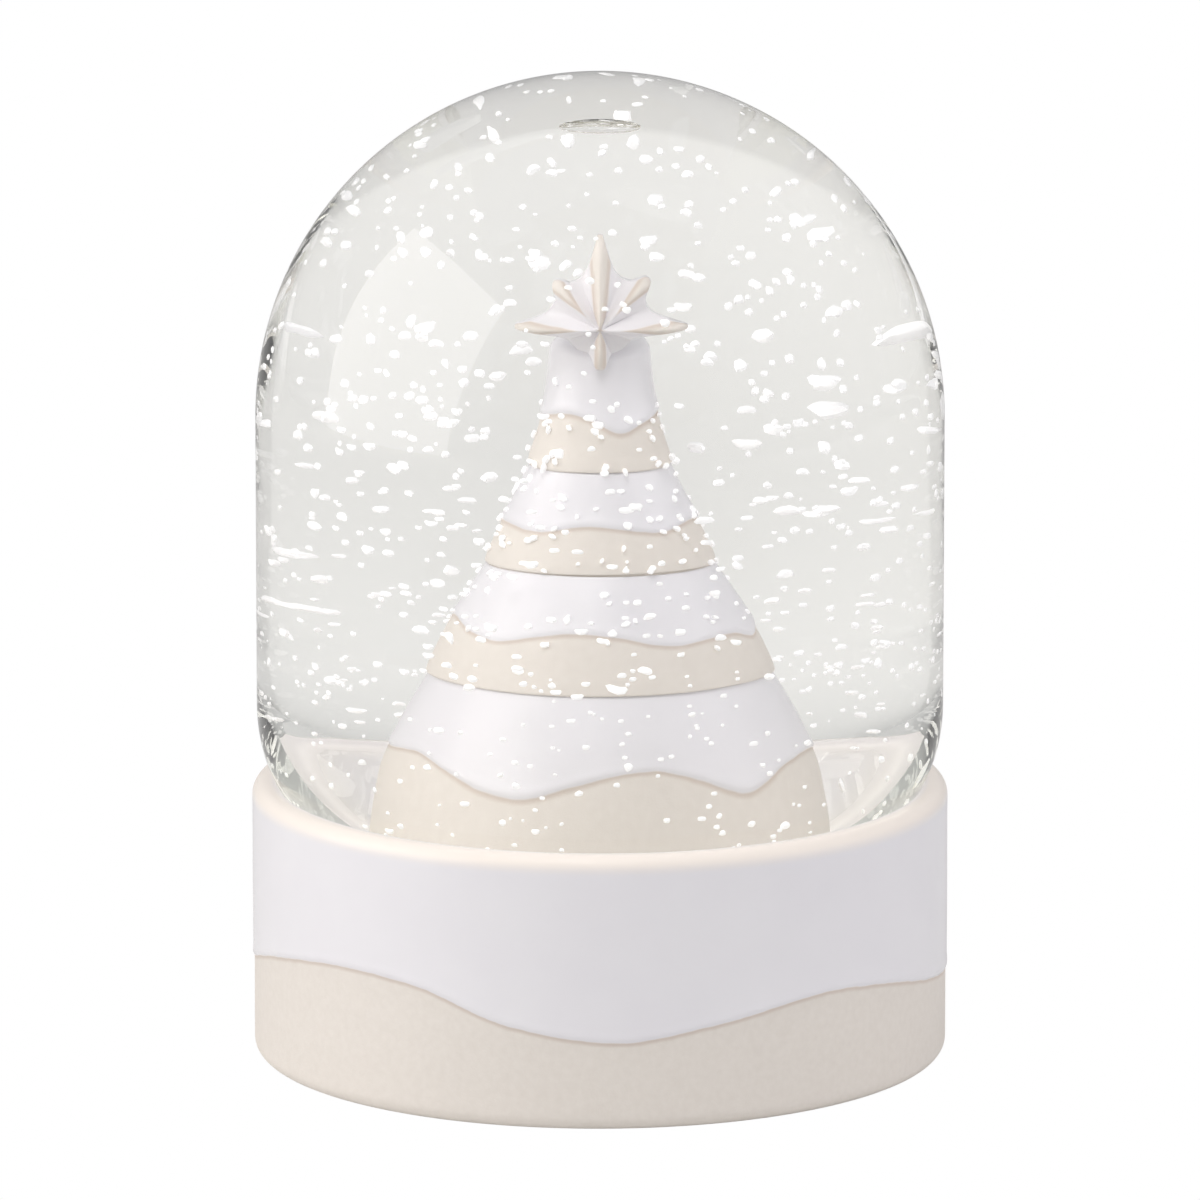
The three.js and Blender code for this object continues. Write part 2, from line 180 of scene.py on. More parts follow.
@dataclass(frozen=True)
class GlazedStoneware:
    """Slip-cast stoneware, dipped in white glaze down to a wavy line and left bare below it.

    The mesh carries how far each point lies above the glaze line, in millimetres, how thin the
    glaze has drawn there, with a painted highlight that goes with it, and the strength of a painted
    glow that stands in for light the glass beside it throws on it. Bare clay gives the eye a dry warm
    beige with a fine grain, and the glaze a cool, softly shining white, with a painted shadow on the
    clay just under where it stops.

    Attributes:
        name: The material's name.
        clay: Colour of the bare clay.
        clay_dark: Colour of its darker grain.
        glaze: Colour of the glaze.
        glaze_pool: Colour where it pools.
        thin_glaze_highlight: Colour where it has drawn thin, lightened further as a painted highlight.
        edge: Colour of a painted shadow on the clay just under the glaze's edge.
        grain_mm: Size of the clay's grain.
        throwing_lines_mm: Spacing of the rings left by fettling, drawn coarser than the real ones to show.
        pooling_mm: Size of the glaze's pools.
        edge_wander_mm: Spacing of the glaze edge's small wanderings.
        edge_wander: How far the edge wanders, in mm.
        edge_shadow_strength: Strength of that painted shadow band under the edge.
        clay_roughness: Roughness of the bare clay.
        glaze_roughness: Roughness of the glaze.
    """

    name: str = "glazed_stoneware"
    clay: str = "#ece6df"
    clay_dark: str = "#e2dbd3"
    glaze: str = "#efeef1"
    glaze_pool: str = "#e9e7ec"
    thin_glaze_highlight: str = "#faf1e7"
    edge: str = "#cfc0b4"
    grain_mm: float = 0.35
    throwing_lines_mm: float = 0.9
    pooling_mm: float = 14.0
    edge_wander_mm: float = 3.0
    edge_wander: float = 0.35
    edge_shadow_strength: float = 0.6
    clay_roughness: float = 0.62
    glaze_roughness: float = 0.27

    def material(self) -> Material:
        """Builds the material.

        Returns:
            A material that reads the mesh's glaze_mm, thin_glaze_highlight and painted_light_glow attributes,
            the last as a painted glow.
        """
        material, tree = blank_material(self.name)
        place = add(tree, "ShaderNodeTexCoord").outputs["Object"]
        height = add(tree, "ShaderNodeAttribute", attribute_name="glaze_mm").outputs["Fac"]
        thin = add(tree, "ShaderNodeAttribute", attribute_name="thin_glaze_highlight").outputs["Fac"]
        # A painted glow, standing in for light that the glass beside the piece throws on it.
        caught = add(tree, "ShaderNodeAttribute", attribute_name="painted_light_glow")
        wander = add(tree, "ShaderNodeTexNoise", {"Vector": place, "Scale": per_metre(self.edge_wander_mm)})
        shift = add(tree, "ShaderNodeMath", {0: wander.outputs["Fac"], 1: 0.5}, operation="SUBTRACT")
        wandering = {0: shift.outputs[0], 1: self.edge_wander, 2: height}
        line = add(tree, "ShaderNodeMath", wandering, operation="MULTIPLY_ADD").outputs[0]
        glazed = add(
            tree, "ShaderNodeMapRange", {0: line, 1: -0.12, 2: 0.16}, interpolation_type="SMOOTHSTEP"
        ).outputs[0]
        # Bare clay varies with its grain. Glaze is cooler where it pools, and creamy where it has drawn thin,
        # with a painted highlight lightening it there.
        clay = mottled(tree, place, self.grain_mm * 3, self.clay, self.clay_dark, 5.0)
        pooled = mottled(tree, place, self.pooling_mm, self.glaze, self.glaze_pool)
        glaze = add(
            tree, "ShaderNodeMix", {"Factor": thin, 6: pooled, 7: linear(self.thin_glaze_highlight)}, data_type="RGBA"
        ).outputs[2]
        colour = add(tree, "ShaderNodeMix", {"Factor": glazed, 6: clay, 7: glaze}, data_type="RGBA")
        # Paints a shadow on the clay just under the glaze's edge.
        rim = self._painted_edge_shadow(tree, line)
        edge_shadowed = {"Factor": rim, 6: colour.outputs[2], 7: linear(self.edge)}
        edged = add(tree, "ShaderNodeMix", edge_shadowed, data_type="RGBA")
        rough = add(tree, "ShaderNodeMapRange", {0: glazed, 3: self.clay_roughness, 4: self.glaze_roughness})
        shader = add(
            tree,
            "ShaderNodeBsdfPrincipled",
            {
                "Base Color": edged.outputs[2],
                "Roughness": rough.outputs[0],
                "IOR": 1.5,
                "Specular IOR Level": 0.4,
                "Emission Color": edged.outputs[2],
                "Emission Strength": caught.outputs["Fac"],
                "Normal": self._relief(tree, place, glazed),
            },
        )
        finish_with(tree, shader)
        return material

    def _painted_edge_shadow(self, tree: NodeTree, line: NodeSocket) -> NodeSocket:
        """Draws a narrow band of painted shadow on the clay just under the glaze line.

        Args:
            tree: The material's node tree.
            line: Height above the wandering glaze line, in mm.

        Returns:
            The band's strength.
        """
        smooth = {"interpolation_type": "SMOOTHSTEP"}
        rise = add(tree, "ShaderNodeMapRange", {0: line, 1: -0.75, 2: -0.12}, **smooth).outputs[0]
        ends = {0: line, 1: -0.1, 2: 0.22, 3: 1.0, 4: 0.0}
        fall = add(tree, "ShaderNodeMapRange", ends, **smooth).outputs[0]
        both = add(tree, "ShaderNodeMath", {0: rise, 1: fall}, operation="MULTIPLY").outputs[0]
        return add(tree, "ShaderNodeMath", {0: both, 1: self.edge_shadow_strength}, operation="MULTIPLY").outputs[0]

    def _relief(self, tree: NodeTree, place: NodeSocket, glazed: NodeSocket) -> NodeSocket:
        """Raises the grain and the faint rings left by fettling on a wheel, softened under the glaze.

        Args:
            tree: The material's node tree.
            place: The point on the surface.
            glazed: 1 under the glaze, 0 on bare clay.

        Returns:
            The bumped normal.
        """
        fine = {"Vector": place, "Scale": per_metre(self.grain_mm), "Detail": 3.0}
        grain = add(tree, "ShaderNodeTexNoise", fine)
        # A wave texture's bands lie a twentieth of its scale apart.
        scale = per_metre(self.throwing_lines_mm) / 20
        bands = {"Vector": place, "Scale": scale, "Distortion": 1.5, "Detail": 2.0}
        rings = add(tree, "ShaderNodeTexWave", bands, bands_direction="Z")
        mixed = add(tree, "ShaderNodeMix", {"Factor": 0.45, 2: grain.outputs["Fac"], 3: rings.outputs["Fac"]})
        strength = add(tree, "ShaderNodeMapRange", {0: glazed, 3: 0.32, 4: 0.1})
        return add(
            tree,
            "ShaderNodeBump",
            {"Height": mixed.outputs[0], "Strength": strength.outputs[0], "Distance": 0.12 * MM},
        ).outputs[0]


class GlassSide(Enum):
    """The two sides of the glass wall: in air outside, and wetted by the liquid inside."""

    IN_AIR = "in_air"
    WETTED = "wetted"


@dataclass(frozen=True)
class BlownSodaLimeGlass:
    """Mould-blown soda-lime glass: clear, with the faint green of its iron in a thick edge.

    Its wetted side bends light only as far as from glass into the liquid, so that the liquid
    magnifies the tree and hides the inner wall, as it does in a full globe.

    Attributes:
        glass_ior: Index of refraction of the glass.
        liquid_ior: Index of refraction of the liquid behind it.
        tint: Colour of the wall.
        thick_tint: Colour along the thick shoulder, where the line of sight grazes it.
        thick_below: Height at which the wall starts to thicken.
        thick_reach: How far below that it is at its thickest.
        ripple_mm: Spacing of the faint ripples left by the mould.
        ripple_high: Height of the ripples.
    """

    glass_ior: float = 1.5
    liquid_ior: float = 1.33
    tint: str = "#fefefd"
    thick_tint: str = "#f8fced"
    thick_below: float = 53 * MM
    thick_reach: float = 9 * MM
    ripple_mm: float = 22.0
    ripple_high: float = 0.25 * MM

    def material(self, side: GlassSide) -> Material:
        """Builds the material of one side of the wall.

        Args:
            side: Which side of the wall it is for.

        Returns:
            A clear refracting material.
        """
        material, tree = blank_material(f"blown_glass_{side.value}")
        ior = self.glass_ior if side is GlassSide.IN_AIR else self.glass_ior / self.liquid_ior
        place = add(tree, "ShaderNodeTexCoord").outputs["Object"]
        soft = {"Vector": place, "Scale": per_metre(self.ripple_mm), "Detail": 1.0}
        ripple = add(tree, "ShaderNodeTexNoise", soft)
        bump = add(
            tree,
            "ShaderNodeBump",
            {"Height": ripple.outputs["Fac"], "Strength": 0.5, "Distance": self.ripple_high},
        )
        height = add(tree, "ShaderNodeSeparateXYZ", {0: place}).outputs["Z"]
        thickest = self.thick_below - self.thick_reach
        low = add(tree, "ShaderNodeMapRange", {0: height, 1: self.thick_below, 2: thickest})
        facing = add(tree, "ShaderNodeLayerWeight").outputs["Facing"]
        grazing = add(tree, "ShaderNodeMapRange", {0: facing, 1: 0.35, 2: 0.75})
        thick = add(tree, "ShaderNodeMath", {0: low.outputs[0], 1: grazing.outputs[0]}, operation="MULTIPLY")
        colour = add(
            tree,
            "ShaderNodeMix",
            {"Factor": thick.outputs[0], 6: linear(self.tint), 7: linear(self.thick_tint)},
            data_type="RGBA",
        )
        shader = add(
            tree,
            "ShaderNodeBsdfPrincipled",
            {
                "Base Color": colour.outputs[2],
                "Roughness": 0.0,
                "IOR": ior,
                "Transmission Weight": 1.0,
                "Normal": bump.outputs[0],
            },
        )
        finish_with(tree, shader)
        return material


@dataclass(frozen=True)
class GlobeLiquid:
    """Water with a little glycerine: clear, and only just warmer than the air around it.

    The glass's wetted side already bends light into the liquid, so its own skin bends none.

    Attributes:
        name: The material's name.
        tint: Colour of the clear liquid.
        cloudy: Colour of its faintly cloudier patches.
        clouding_mm: Size of those patches.
    """

    name: str = "globe_liquid"
    tint: str = "#fefefd"
    cloudy: str = "#fdfdfc"
    clouding_mm: float = 30.0

    def material(self) -> Material:
        """Builds the material.

        Returns:
            The new material.
        """
        material, tree = blank_material(self.name)
        place = add(tree, "ShaderNodeTexCoord").outputs["Object"]
        colour = mottled(tree, place, self.clouding_mm, self.tint, self.cloudy)
        shader = add(
            tree,
            "ShaderNodeBsdfPrincipled",
            {"Base Color": colour, "Roughness": 0.0, "IOR": 1.0, "Transmission Weight": 1.0},
        )
        finish_with(tree, shader)
        return material


@dataclass(frozen=True)
class AirInLiquid:
    """The bubble left under the crown: air seen from the liquid, so light bends the other way.

    Attributes:
        name: The material's name.
        liquid_ior: Index of refraction of the liquid around it.
        clear: Colour of its skin.
        dull: Colour of the skin's duller patches.
        film_mm: Size of those patches.
    """

    name: str = "air_in_liquid"
    liquid_ior: float = 1.33
    clear: str = "#ffffff"
    dull: str = "#fafafa"
    film_mm: float = 4.0

    def material(self) -> Material:
        """Builds the material.

        Returns:
            The new material.
        """
        material, tree = blank_material(self.name)
        place = add(tree, "ShaderNodeTexCoord").outputs["Object"]
        colour = mottled(tree, place, self.film_mm, self.clear, self.dull)
        ior = 1 / self.liquid_ior
        shader = add(tree, "ShaderNodeBsdfGlass", {"Color": colour, "Roughness": 0.0, "IOR": ior})
        finish_with(tree, shader)
        return material


@dataclass(frozen=True)
class SnowFilm:
    """Chips cut from white polyester film: bright, slightly satiny, and a little uneven.

    Attributes:
        name: The material's name.
        bright: Colour of the film.
        dull: Colour of its duller patches.
        unevenness_mm: Size of those patches.
        glow: Strength of a painted glow, standing in for the light that comes through from behind.
    """

    name: str = "snow_film"
    bright: str = "#fefefe"
    dull: str = "#f6f6f8"
    unevenness_mm: float = 0.8
    glow: float = 0.22

    def material(self) -> Material:
        """Builds the material. The thin film passes light from behind, which a faint painted glow stands for.

        Returns:
            The new material.
        """
        material, tree = blank_material(self.name)
        place = add(tree, "ShaderNodeTexCoord").outputs["Object"]
        colour = mottled(tree, place, self.unevenness_mm, self.bright, self.dull)
        shader = add(
            tree,
            "ShaderNodeBsdfPrincipled",
            {
                "Base Color": colour,
                "Roughness": 0.5,
                "IOR": 1.5,
                "Specular IOR Level": 0.3,
                # A painted glow that brightens the flakes.
                "Emission Color": linear(self.bright),
                "Emission Strength": self.glow,
            },
        )
        finish_with(tree, shader)
        return material


@dataclass(frozen=True)
class MatteStuff:
    """A dull material with a mottled colour and a grainy surface: rubber, sealant, board or felt.

    Attributes:
        name: The material's name.
        light: Its lighter colour.
        dark: Its darker colour.
        roughness: Its roughness.
        grain_mm: Size of its grain.
        bump_mm: Height of its grain.
        sheen: Weight of the sheen that loose fibres give.
        glow: Strength of a painted glow, standing in for light that it takes in from the glass beside it.
    """

    name: str
    light: str
    dark: str
    roughness: float
    grain_mm: float
    bump_mm: float
    sheen: float = 0.0
    glow: float = 0.0

    def material(self) -> Material:
        """Builds the material.

        Returns:
            The new material.
        """
        material, tree = blank_material(self.name)
        place = add(tree, "ShaderNodeTexCoord").outputs["Object"]
        scale = per_metre(self.grain_mm)
        grain = add(tree, "ShaderNodeTexNoise", {"Vector": place, "Scale": scale, "Detail": 4.0})
        colour = add(
            tree,
            "ShaderNodeMix",
            {"Factor": grain.outputs["Fac"], 6: linear(self.light), 7: linear(self.dark)},
            data_type="RGBA",
        )
        raised = {"Height": grain.outputs["Fac"], "Strength": 0.6, "Distance": self.bump_mm * MM}
        bump = add(tree, "ShaderNodeBump", raised)
        shader = add(
            tree,
            "ShaderNodeBsdfPrincipled",
            {
                "Base Color": colour.outputs[2],
                "Roughness": self.roughness,
                "Sheen Weight": self.sheen,
                "Emission Color": linear(self.light),
                "Emission Strength": self.glow,
                "Normal": bump.outputs[0],
            },
        )
        finish_with(tree, shader)
        return material


# Moulded rubber looks dull and slightly chalky.
MOULDED_RUBBER = MatteStuff("moulded_rubber", "#e6e4dc", "#dad7cc", 0.7, 1.2, 0.03)
# Silicone sealant has a milky, soft shine, and a painted glow stands in for light that it takes in from the
# glass that it touches.
SILICONE_SEALANT = MatteStuff("silicone_sealant", "#f1f1e9", "#e8e8dd", 0.45, 2.5, 0.05, glow=0.25)
# Pressed fibreboard is matt and brown with a short fleck.
PRESSED_FIBREBOARD = MatteStuff("pressed_fibreboard", "#b49a78", "#9c8463", 0.9, 0.6, 0.08)
# Wool felt is fuzzy, with fibres that catch light at a grazing angle.
WOOL_FELT = MatteStuff("wool_felt", "#dcd6cb", "#c8c0b3", 1.0, 0.5, 0.3, sheen=0.4)


# ---- Mesh building --------------------------------------------------------------------------


def arc(
    centre_r: float, centre_z: float, radius: float, start: float, end: float, steps: int
) -> list[Corner]:
    """Points of an arc in the outline's plane.

    Args:
        centre_r: The centre's distance from the axis.
        centre_z: The centre's height.
        radius: The arc's radius.
        start: Angle of the first point, in degrees from outwards to up.
        end: Angle of the last point.
        steps: How many pieces it has.

    Returns:
        Corners with no round of their own.
    """
    turns = np.radians(np.linspace(start, end, steps + 1))
    return [(centre_r + radius * math.cos(a), centre_z + radius * math.sin(a), 0.0) for a in turns]


def outline(corners: Sequence[Corner], closed: bool, step: float) -> np.ndarray:
    """Rounds an outline's corners and cuts its long stretches.

    Args:
        corners: Radius, height and round of each corner, along the outline.
        closed: Whether the last corner joins the first. Otherwise both lie on the axis.
        step: The longest stretch left uncut.

    Returns:
        An array of [radius, height] points.
    """
    line: list[np.ndarray] = []
    count = len(corners)
    for i, (r, z, rounding) in enumerate(corners):
        here = np.array([r, z])
        if rounding <= 0 or (not closed and i in (0, count - 1)):
            line.append(here)
            continue
        back = np.array(corners[i - 1][:2]) - here
        ahead = np.array(corners[(i + 1) % count][:2]) - here
        room = 0.49 * min(np.linalg.norm(back), np.linalg.norm(ahead))
        back /= np.linalg.norm(back)
        ahead /= np.linalg.norm(ahead)
        half = 0.5 * math.acos(float(np.clip(back @ ahead, -1, 1)))
        middle = back + ahead
        if np.linalg.norm(middle) < 1e-4:
            line.append(here)
            continue
        rounding = min(rounding, room * math.tan(half))
        centre = here + middle / np.linalg.norm(middle) * rounding / math.sin(half)
        first = here + back * rounding / math.tan(half) - centre
        last = here + ahead * rounding / math.tan(half) - centre
        begin = math.atan2(first[1], first[0])
        sweep = (math.atan2(last[1], last[0]) - begin + math.pi) % (2 * math.pi) - math.pi
        steps = max(3, math.ceil(abs(sweep) * rounding / min(step, 0.35 * MM)))
        for k in range(steps + 1):
            a = begin + sweep * k / steps
            line.append(centre + rounding * np.array([math.cos(a), math.sin(a)]))
    if closed:
        line.append(line[0])
    cut = [line[0]]
    for a, b in zip(line, line[1:]):
        pieces = max(1, math.ceil(np.linalg.norm(b - a) / step))
        cut += [a + (b - a) * k / pieces for k in range(1, pieces + 1)]
    return np.array(cut[:-1] if closed else cut)


def new_piece(name: str, vertices: Sequence, faces: Sequence) -> Object:
    """Makes a smooth-shaded object, sharp only at its real edges.

    Args:
        name: The object's name.
        vertices: Its points, in metres.
        faces: The points of each face, counted from 0.

    Returns:
        The new object.
    """
    mesh = bpy.data.meshes.new(name)
    mesh.from_pydata(vertices, [], faces)
    mesh.validate()
    mesh.shade_smooth()
    mesh.set_sharp_from_angle(angle=SHARP_EDGE)
    piece = bpy.data.objects.new(name, mesh)
    bpy.context.scene.collection.objects.link(piece)
    return piece


@dataclass
class Turned:
    """A body of revolution about the Z axis, as rings of vertices.

    Attributes:
        line: The outline's [radius, height] points, up the outer side.
        closed: Whether the outline closes on itself. Otherwise both its ends lie on the axis.
        turns: How many columns of vertices it has.
    """

    line: np.ndarray
    closed: bool
    turns: int

    def __post_init__(self) -> None:
        """Lays out the rings: every outline point, without those on the axis."""
        self.rows = self.line if self.closed else self.line[1:-1]
        self.angle = np.linspace(0, FULL_TURN, self.turns, endpoint=False)
        ahead = np.roll(self.rows, -1, axis=0)
        behind = np.roll(self.rows, 1, axis=0)
        if not self.closed:
            ahead[-1], behind[0] = self.line[-1], self.line[0]
        along = ahead - behind
        along /= np.maximum(np.linalg.norm(along, axis=1, keepdims=True), 1e-12)
        self.normal = np.stack([along[:, 1], -along[:, 0]], axis=1)
        self.angle_grid, self.radius_grid = np.meshgrid(self.angle, self.rows[:, 0])
        self.height_grid = np.repeat(self.rows[:, 1:2], self.turns, axis=1)

    def build(self, name: str, relief: np.ndarray | None = None) -> Object:
        """Builds the mesh.

        Args:
            name: The piece's name.
            relief: How far each ring vertex moves out along the outline's normal.

        Returns:
            The new object.
        """
        off = np.zeros_like(self.radius_grid) if relief is None else relief
        r = self.radius_grid + off * self.normal[:, 0:1]
        z = self.height_grid + off * self.normal[:, 1:2]
        points = np.stack([r * np.cos(self.angle_grid), r * np.sin(self.angle_grid), z], axis=2)
        vertices = points.reshape(-1, 3).tolist()
        faces: list[tuple[int, ...]] = []
        count = len(self.rows)
        for i in range(count if self.closed else count - 1):
            low, high = i * self.turns, ((i + 1) % count) * self.turns
            for j in range(self.turns):
                k = (j + 1) % self.turns
                faces.append((low + j, low + k, high + k, high + j))
        if not self.closed:
            foot, top = len(vertices), len(vertices) + 1
            vertices += [(0, 0, self.line[0][1]), (0, 0, self.line[-1][1])]
            last = (count - 1) * self.turns
            for j in range(self.turns):
                k = (j + 1) % self.turns
                faces.append((foot, k, j))
                faces.append((last + j, last + k, top))
        return new_piece(name, vertices, faces)


def paint(piece: Object, name: str, values: np.ndarray) -> None:
    """Stores one number for each ring vertex as a mesh attribute.

    Args:
        piece: The piece to paint.
        name: The attribute's name.
        values: The numbers, ring by ring. Points on the axis take the nearest ring's.
    """
    flat = values.reshape(-1)
    extra = len(piece.data.vertices) - len(flat)
    if extra:
        flat = np.concatenate([flat, [flat[0], flat[-1]]])
    attribute = piece.data.attributes.new(name, "FLOAT", "POINT")
    attribute.data.foreach_set("value", flat.astype(np.float32))


def seat(piece: Object, body: Body, slot: Slot, materials: Sequence[Material], *nodes: str) -> Object:
    """Gives a piece its body and materials, and hides the CAD nodes that it stands for.

    Args:
        piece: The finished piece.
        body: The body that it moves with.
        slot: The record's slot of its finish. Not used.
        materials: Its materials, in the order of its faces' indices.
        *nodes: The CAD nodes that it replaces.

    Returns:
        The same piece.
    """
    for material in materials:
        piece.data.materials.append(material)
    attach(piece, body.value)
    if nodes:
        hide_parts(*nodes)
    LOG.info("%s: %d faces on %s", piece.name, len(piece.data.polygons), body.value)
    return piece


def wave_line(marks: Marks, angle: np.ndarray) -> np.ndarray:
    """A smooth closed wave through a few marks around a piece.

    Args:
        marks: Azimuth in degrees, 0 at the front and growing to the right, and height in mm.
        angle: Angles about the axis from +X, in radians.

    Returns:
        The wave's height at each angle, in metres.
    """
    at = np.array([m[0] for m in marks], float)
    height = np.array([m[1] for m in marks], float)
    count = len(at)
    azimuth = (np.degrees(angle) + 90 - at[0]) % 360 + at[0]
    span = np.append(at, at[0] + 360)
    i = np.clip(np.searchsorted(span, azimuth, side="right") - 1, 0, count - 1)
    t = (azimuth - span[i]) / (span[i + 1] - span[i])
    p0, p1, p2, p3 = (height[(i + k) % count] for k in (-1, 0, 1, 2))
    curve = p1 + 0.5 * t * (p2 - p0 + t * (2 * p0 - 5 * p1 + 4 * p2 - p3 + t * (3 * (p1 - p2) + p3 - p0)))
    return curve * MM


# ---- Ceramic base ---------------------------------------------------------------------------


@dataclass
class RingBase:
    """The ceramic ring that the dome stands in, with the board and felt that close it below.

    Attributes:
        wall: Thickness of the ring's wall.
        lip: Round of its upper edge outside.
        lip_inside: Round of the same edge inside.
        foot_round: Round of its lower edge.
        shelf_top: Height of the shelf that carries the dome.
        shelf_thick: Thickness of that shelf at its hole.
        shelf_bore: Radius of the hole in the shelf.
        ledge: Radius of the hollow under the shelf.
        recess: Radius of the recess that takes the cover board.
        recess_top: Height of that recess.
        glaze_thick: How far the glaze stands proud of the clay.
        glaze_marks: Points of the glaze line around the ring.
        lip_cream_highlight: How creamy the glaze is on the lip's inner side, and what its outer side adds,
            each with a painted highlight that lightens it.
        caught: Strength of a painted glow on the ring's inside, standing in for light that the glass throws
            there.
        off_line: Height above or below the glaze line given to what is all glazed or all bare.
        wobble: Unevenness of the fettled clay.
        turns: How many columns of vertices the ring has.
        step: The longest stretch of its outline.
    """

    wall: float = 4.0 * MM
    lip: float = 2.6 * MM
    lip_inside: float = 1.1 * MM
    foot_round: float = 2.0 * MM
    shelf_top: float = 24.5 * MM
    shelf_thick: float = 4.5 * MM
    shelf_bore: float = 35.6 * MM
    ledge: float = 42.0 * MM
    recess: float = 45.0 * MM
    recess_top: float = 4.8 * MM
    glaze_thick: float = 0.2 * MM
    glaze_marks: Marks = (
        (-90, 14.4), (-69, 18.2), (-48, 20.6), (-31, 19.8), (-15, 15.4), (3, 13.4),
        (18, 15.2), (39, 17.9), (54, 17.0), (72, 14.4), (90, 13.1), (115, 14.8),
        (150, 19.0), (180, 20.2), (212, 16.6), (242, 13.6),
    )
    lip_cream_highlight: tuple[float, float] = (0.25, 0.65)
    caught: float = 0.14
    off_line: float = 6 * MM
    wobble: float = 0.06 * MM
    turns: int = 720
    step: float = 0.45 * MM

    def build(self, stoneware: Material) -> None:
        """Builds the ring, the bedding under the glass, the cover board and the felt pad.

        Args:
            stoneware: The ring's material.
        """
        self._ring(stoneware)
        self._bedding()
        self._disc("cover_board", "base_cover", PRESSED_FIBREBOARD, Slot.BOARD, 0.3 * MM)
        self._disc("felt_foot", "felt_pad", WOOL_FELT, Slot.FELT, 0.5 * MM)

    def _ring(self, stoneware: Material) -> None:
        """Casts the ring: glazed from its lip down to the wavy line.

        Args:
            stoneware: Its material.
        """
        low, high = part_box("ceramic_base")
        outer, top = high.x - self.glaze_thick, high.z - self.glaze_thick / 2
        inner = outer - self.wall + self.glaze_thick
        under = self.shelf_top - self.shelf_thick
        soft = 0.5 * MM
        corners = [
            (outer, low.z, self.foot_round), (outer, top, self.lip), (inner, top, self.lip_inside),
            (inner, self.shelf_top, 1.5 * MM), (self.shelf_bore, self.shelf_top, soft),
            (self.shelf_bore, under, soft), (self.ledge, under - 1.5 * MM, 1.0 * MM),
            (self.ledge, self.recess_top, soft), (self.recess, self.recess_top, soft / 2),
            (self.recess, low.z, soft),
        ]
        ring = Turned(outline(corners, True, self.step), True, self.turns)
        inside = (ring.radius_grid < inner + 0.2 * MM) | (ring.radius_grid < self.recess + 0.6 * MM)
        above = ring.height_grid - wave_line(self.glaze_marks, ring.angle_grid)
        above = np.where(inside, self.off_line, above)
        hidden = inside & (ring.height_grid < self.shelf_top - 1 * MM)
        above = np.where(hidden, -self.off_line, above)
        lift = glaze_relief(above, self.glaze_thick) + hand_wobble(ring, self.wobble)
        piece = ring.build("ceramic_ring", lift)
        paint(piece, "glaze_mm", above / MM)
        # The lip's glaze is creamier where it has drawn thin, and painted lighter there as a highlight, most
        # on the outer, upward side.
        outward = smooth_step(ring.radius_grid, inner + 0.3 * MM, inner + 1.8 * MM)
        lip = smooth_step(ring.height_grid, top - 2.6 * MM, top - 0.7 * MM)
        inner_cream_highlight, outer_cream_highlight = self.lip_cream_highlight
        paint(piece, "thin_glaze_highlight", lip * (inner_cream_highlight + outer_cream_highlight * outward))
        # A painted glow on the ring's inside stands in for the light that the glass throws there.
        paint(piece, "painted_light_glow", np.where(inside, self.caught, 0.0))
        seat(piece, Body.GLOBE, Slot.STONEWARE, [stoneware], "ceramic_base")

    def _bedding(self) -> None:
        """Squeezes the silicone ring between the shelf and the shoulder of the glass."""
        low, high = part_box("dome_bedding")
        shoulder = Dome()
        curve = arc(shoulder.shoulder_x, shoulder.shoulder_top, shoulder.shoulder_r + 0.2 * MM, -38, -56, 10)
        corners = [(curve[-1][0], low.z, 0.4 * MM), (high.x, low.z, 0.8 * MM), *curve]
        bed = Turned(outline(corners, True, 1.2 * MM), True, 192)
        ooze = 0.12 * MM * np.sin(7 * bed.angle_grid) * smooth_step(bed.height_grid, low.z, high.z)
        piece = bed.build("glass_bedding", -np.abs(ooze))
        seat(piece, Body.GLOBE, Slot.SEALANT, [SILICONE_SEALANT.material()], "dome_bedding")

    def _disc(self, name: str, node: str, finish: MatteStuff, slot: Slot, edge: float) -> None:
        """Cuts a round sheet with softened edges, the size of its CAD node.

        Args:
            name: The piece's name.
            node: The CAD node that it replaces.
            finish: What it is made of.
            slot: The record's slot of its finish.
            edge: Round of its edges.
        """
        low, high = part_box(node)
        corners = [(0.0, low.z, 0.0), (high.x, low.z, edge), (high.x, high.z, edge), (0.0, high.z, 0.0)]
        sheet = Turned(outline(corners, False, 1.6 * MM), False, 256)
        nap = 0.04 * MM * np.sin(sheet.radius_grid / MM * 5.1 + 3 * np.cos(sheet.angle_grid * 23))
        piece = sheet.build(name, -np.abs(nap) * (slot is Slot.FELT))
        seat(piece, Body.GLOBE, slot, [finish.material()], node)


def glaze_relief(above: np.ndarray, thick: float) -> np.ndarray:
    """How far the glaze lifts the surface: a step at its line, with a rolled bead along it.

    Args:
        above: Each point's height above the glaze line, in metres.
        thick: The glaze's thickness.

    Returns:
        The lift at each point.
    """
    step = smooth_step(above, -0.08 * MM, 0.45 * MM)
    bead = np.exp(-(((above - 0.75 * MM) / (0.55 * MM)) ** 2))
    return thick * (step + 0.35 * bead)


def hand_wobble(body: Turned, size: float) -> np.ndarray:
    """Gives the slight unevenness that fettling by hand leaves on a cast piece.

    Args:
        body: The turned piece.
        size: How far it wobbles.

    Returns:
        The lift at each ring vertex.
    """
    low = np.sin(2 * body.angle_grid + 0.6) + 0.6 * np.sin(3 * body.angle_grid + body.height_grid / (9 * MM))
    fine = 0.35 * np.sin(body.height_grid / (3.1 * MM) + 2 * np.sin(body.angle_grid))
    return size * 0.5 * (low + fine)


# ---- Glass dome, its stopper and its seal ---------------------------------------------------


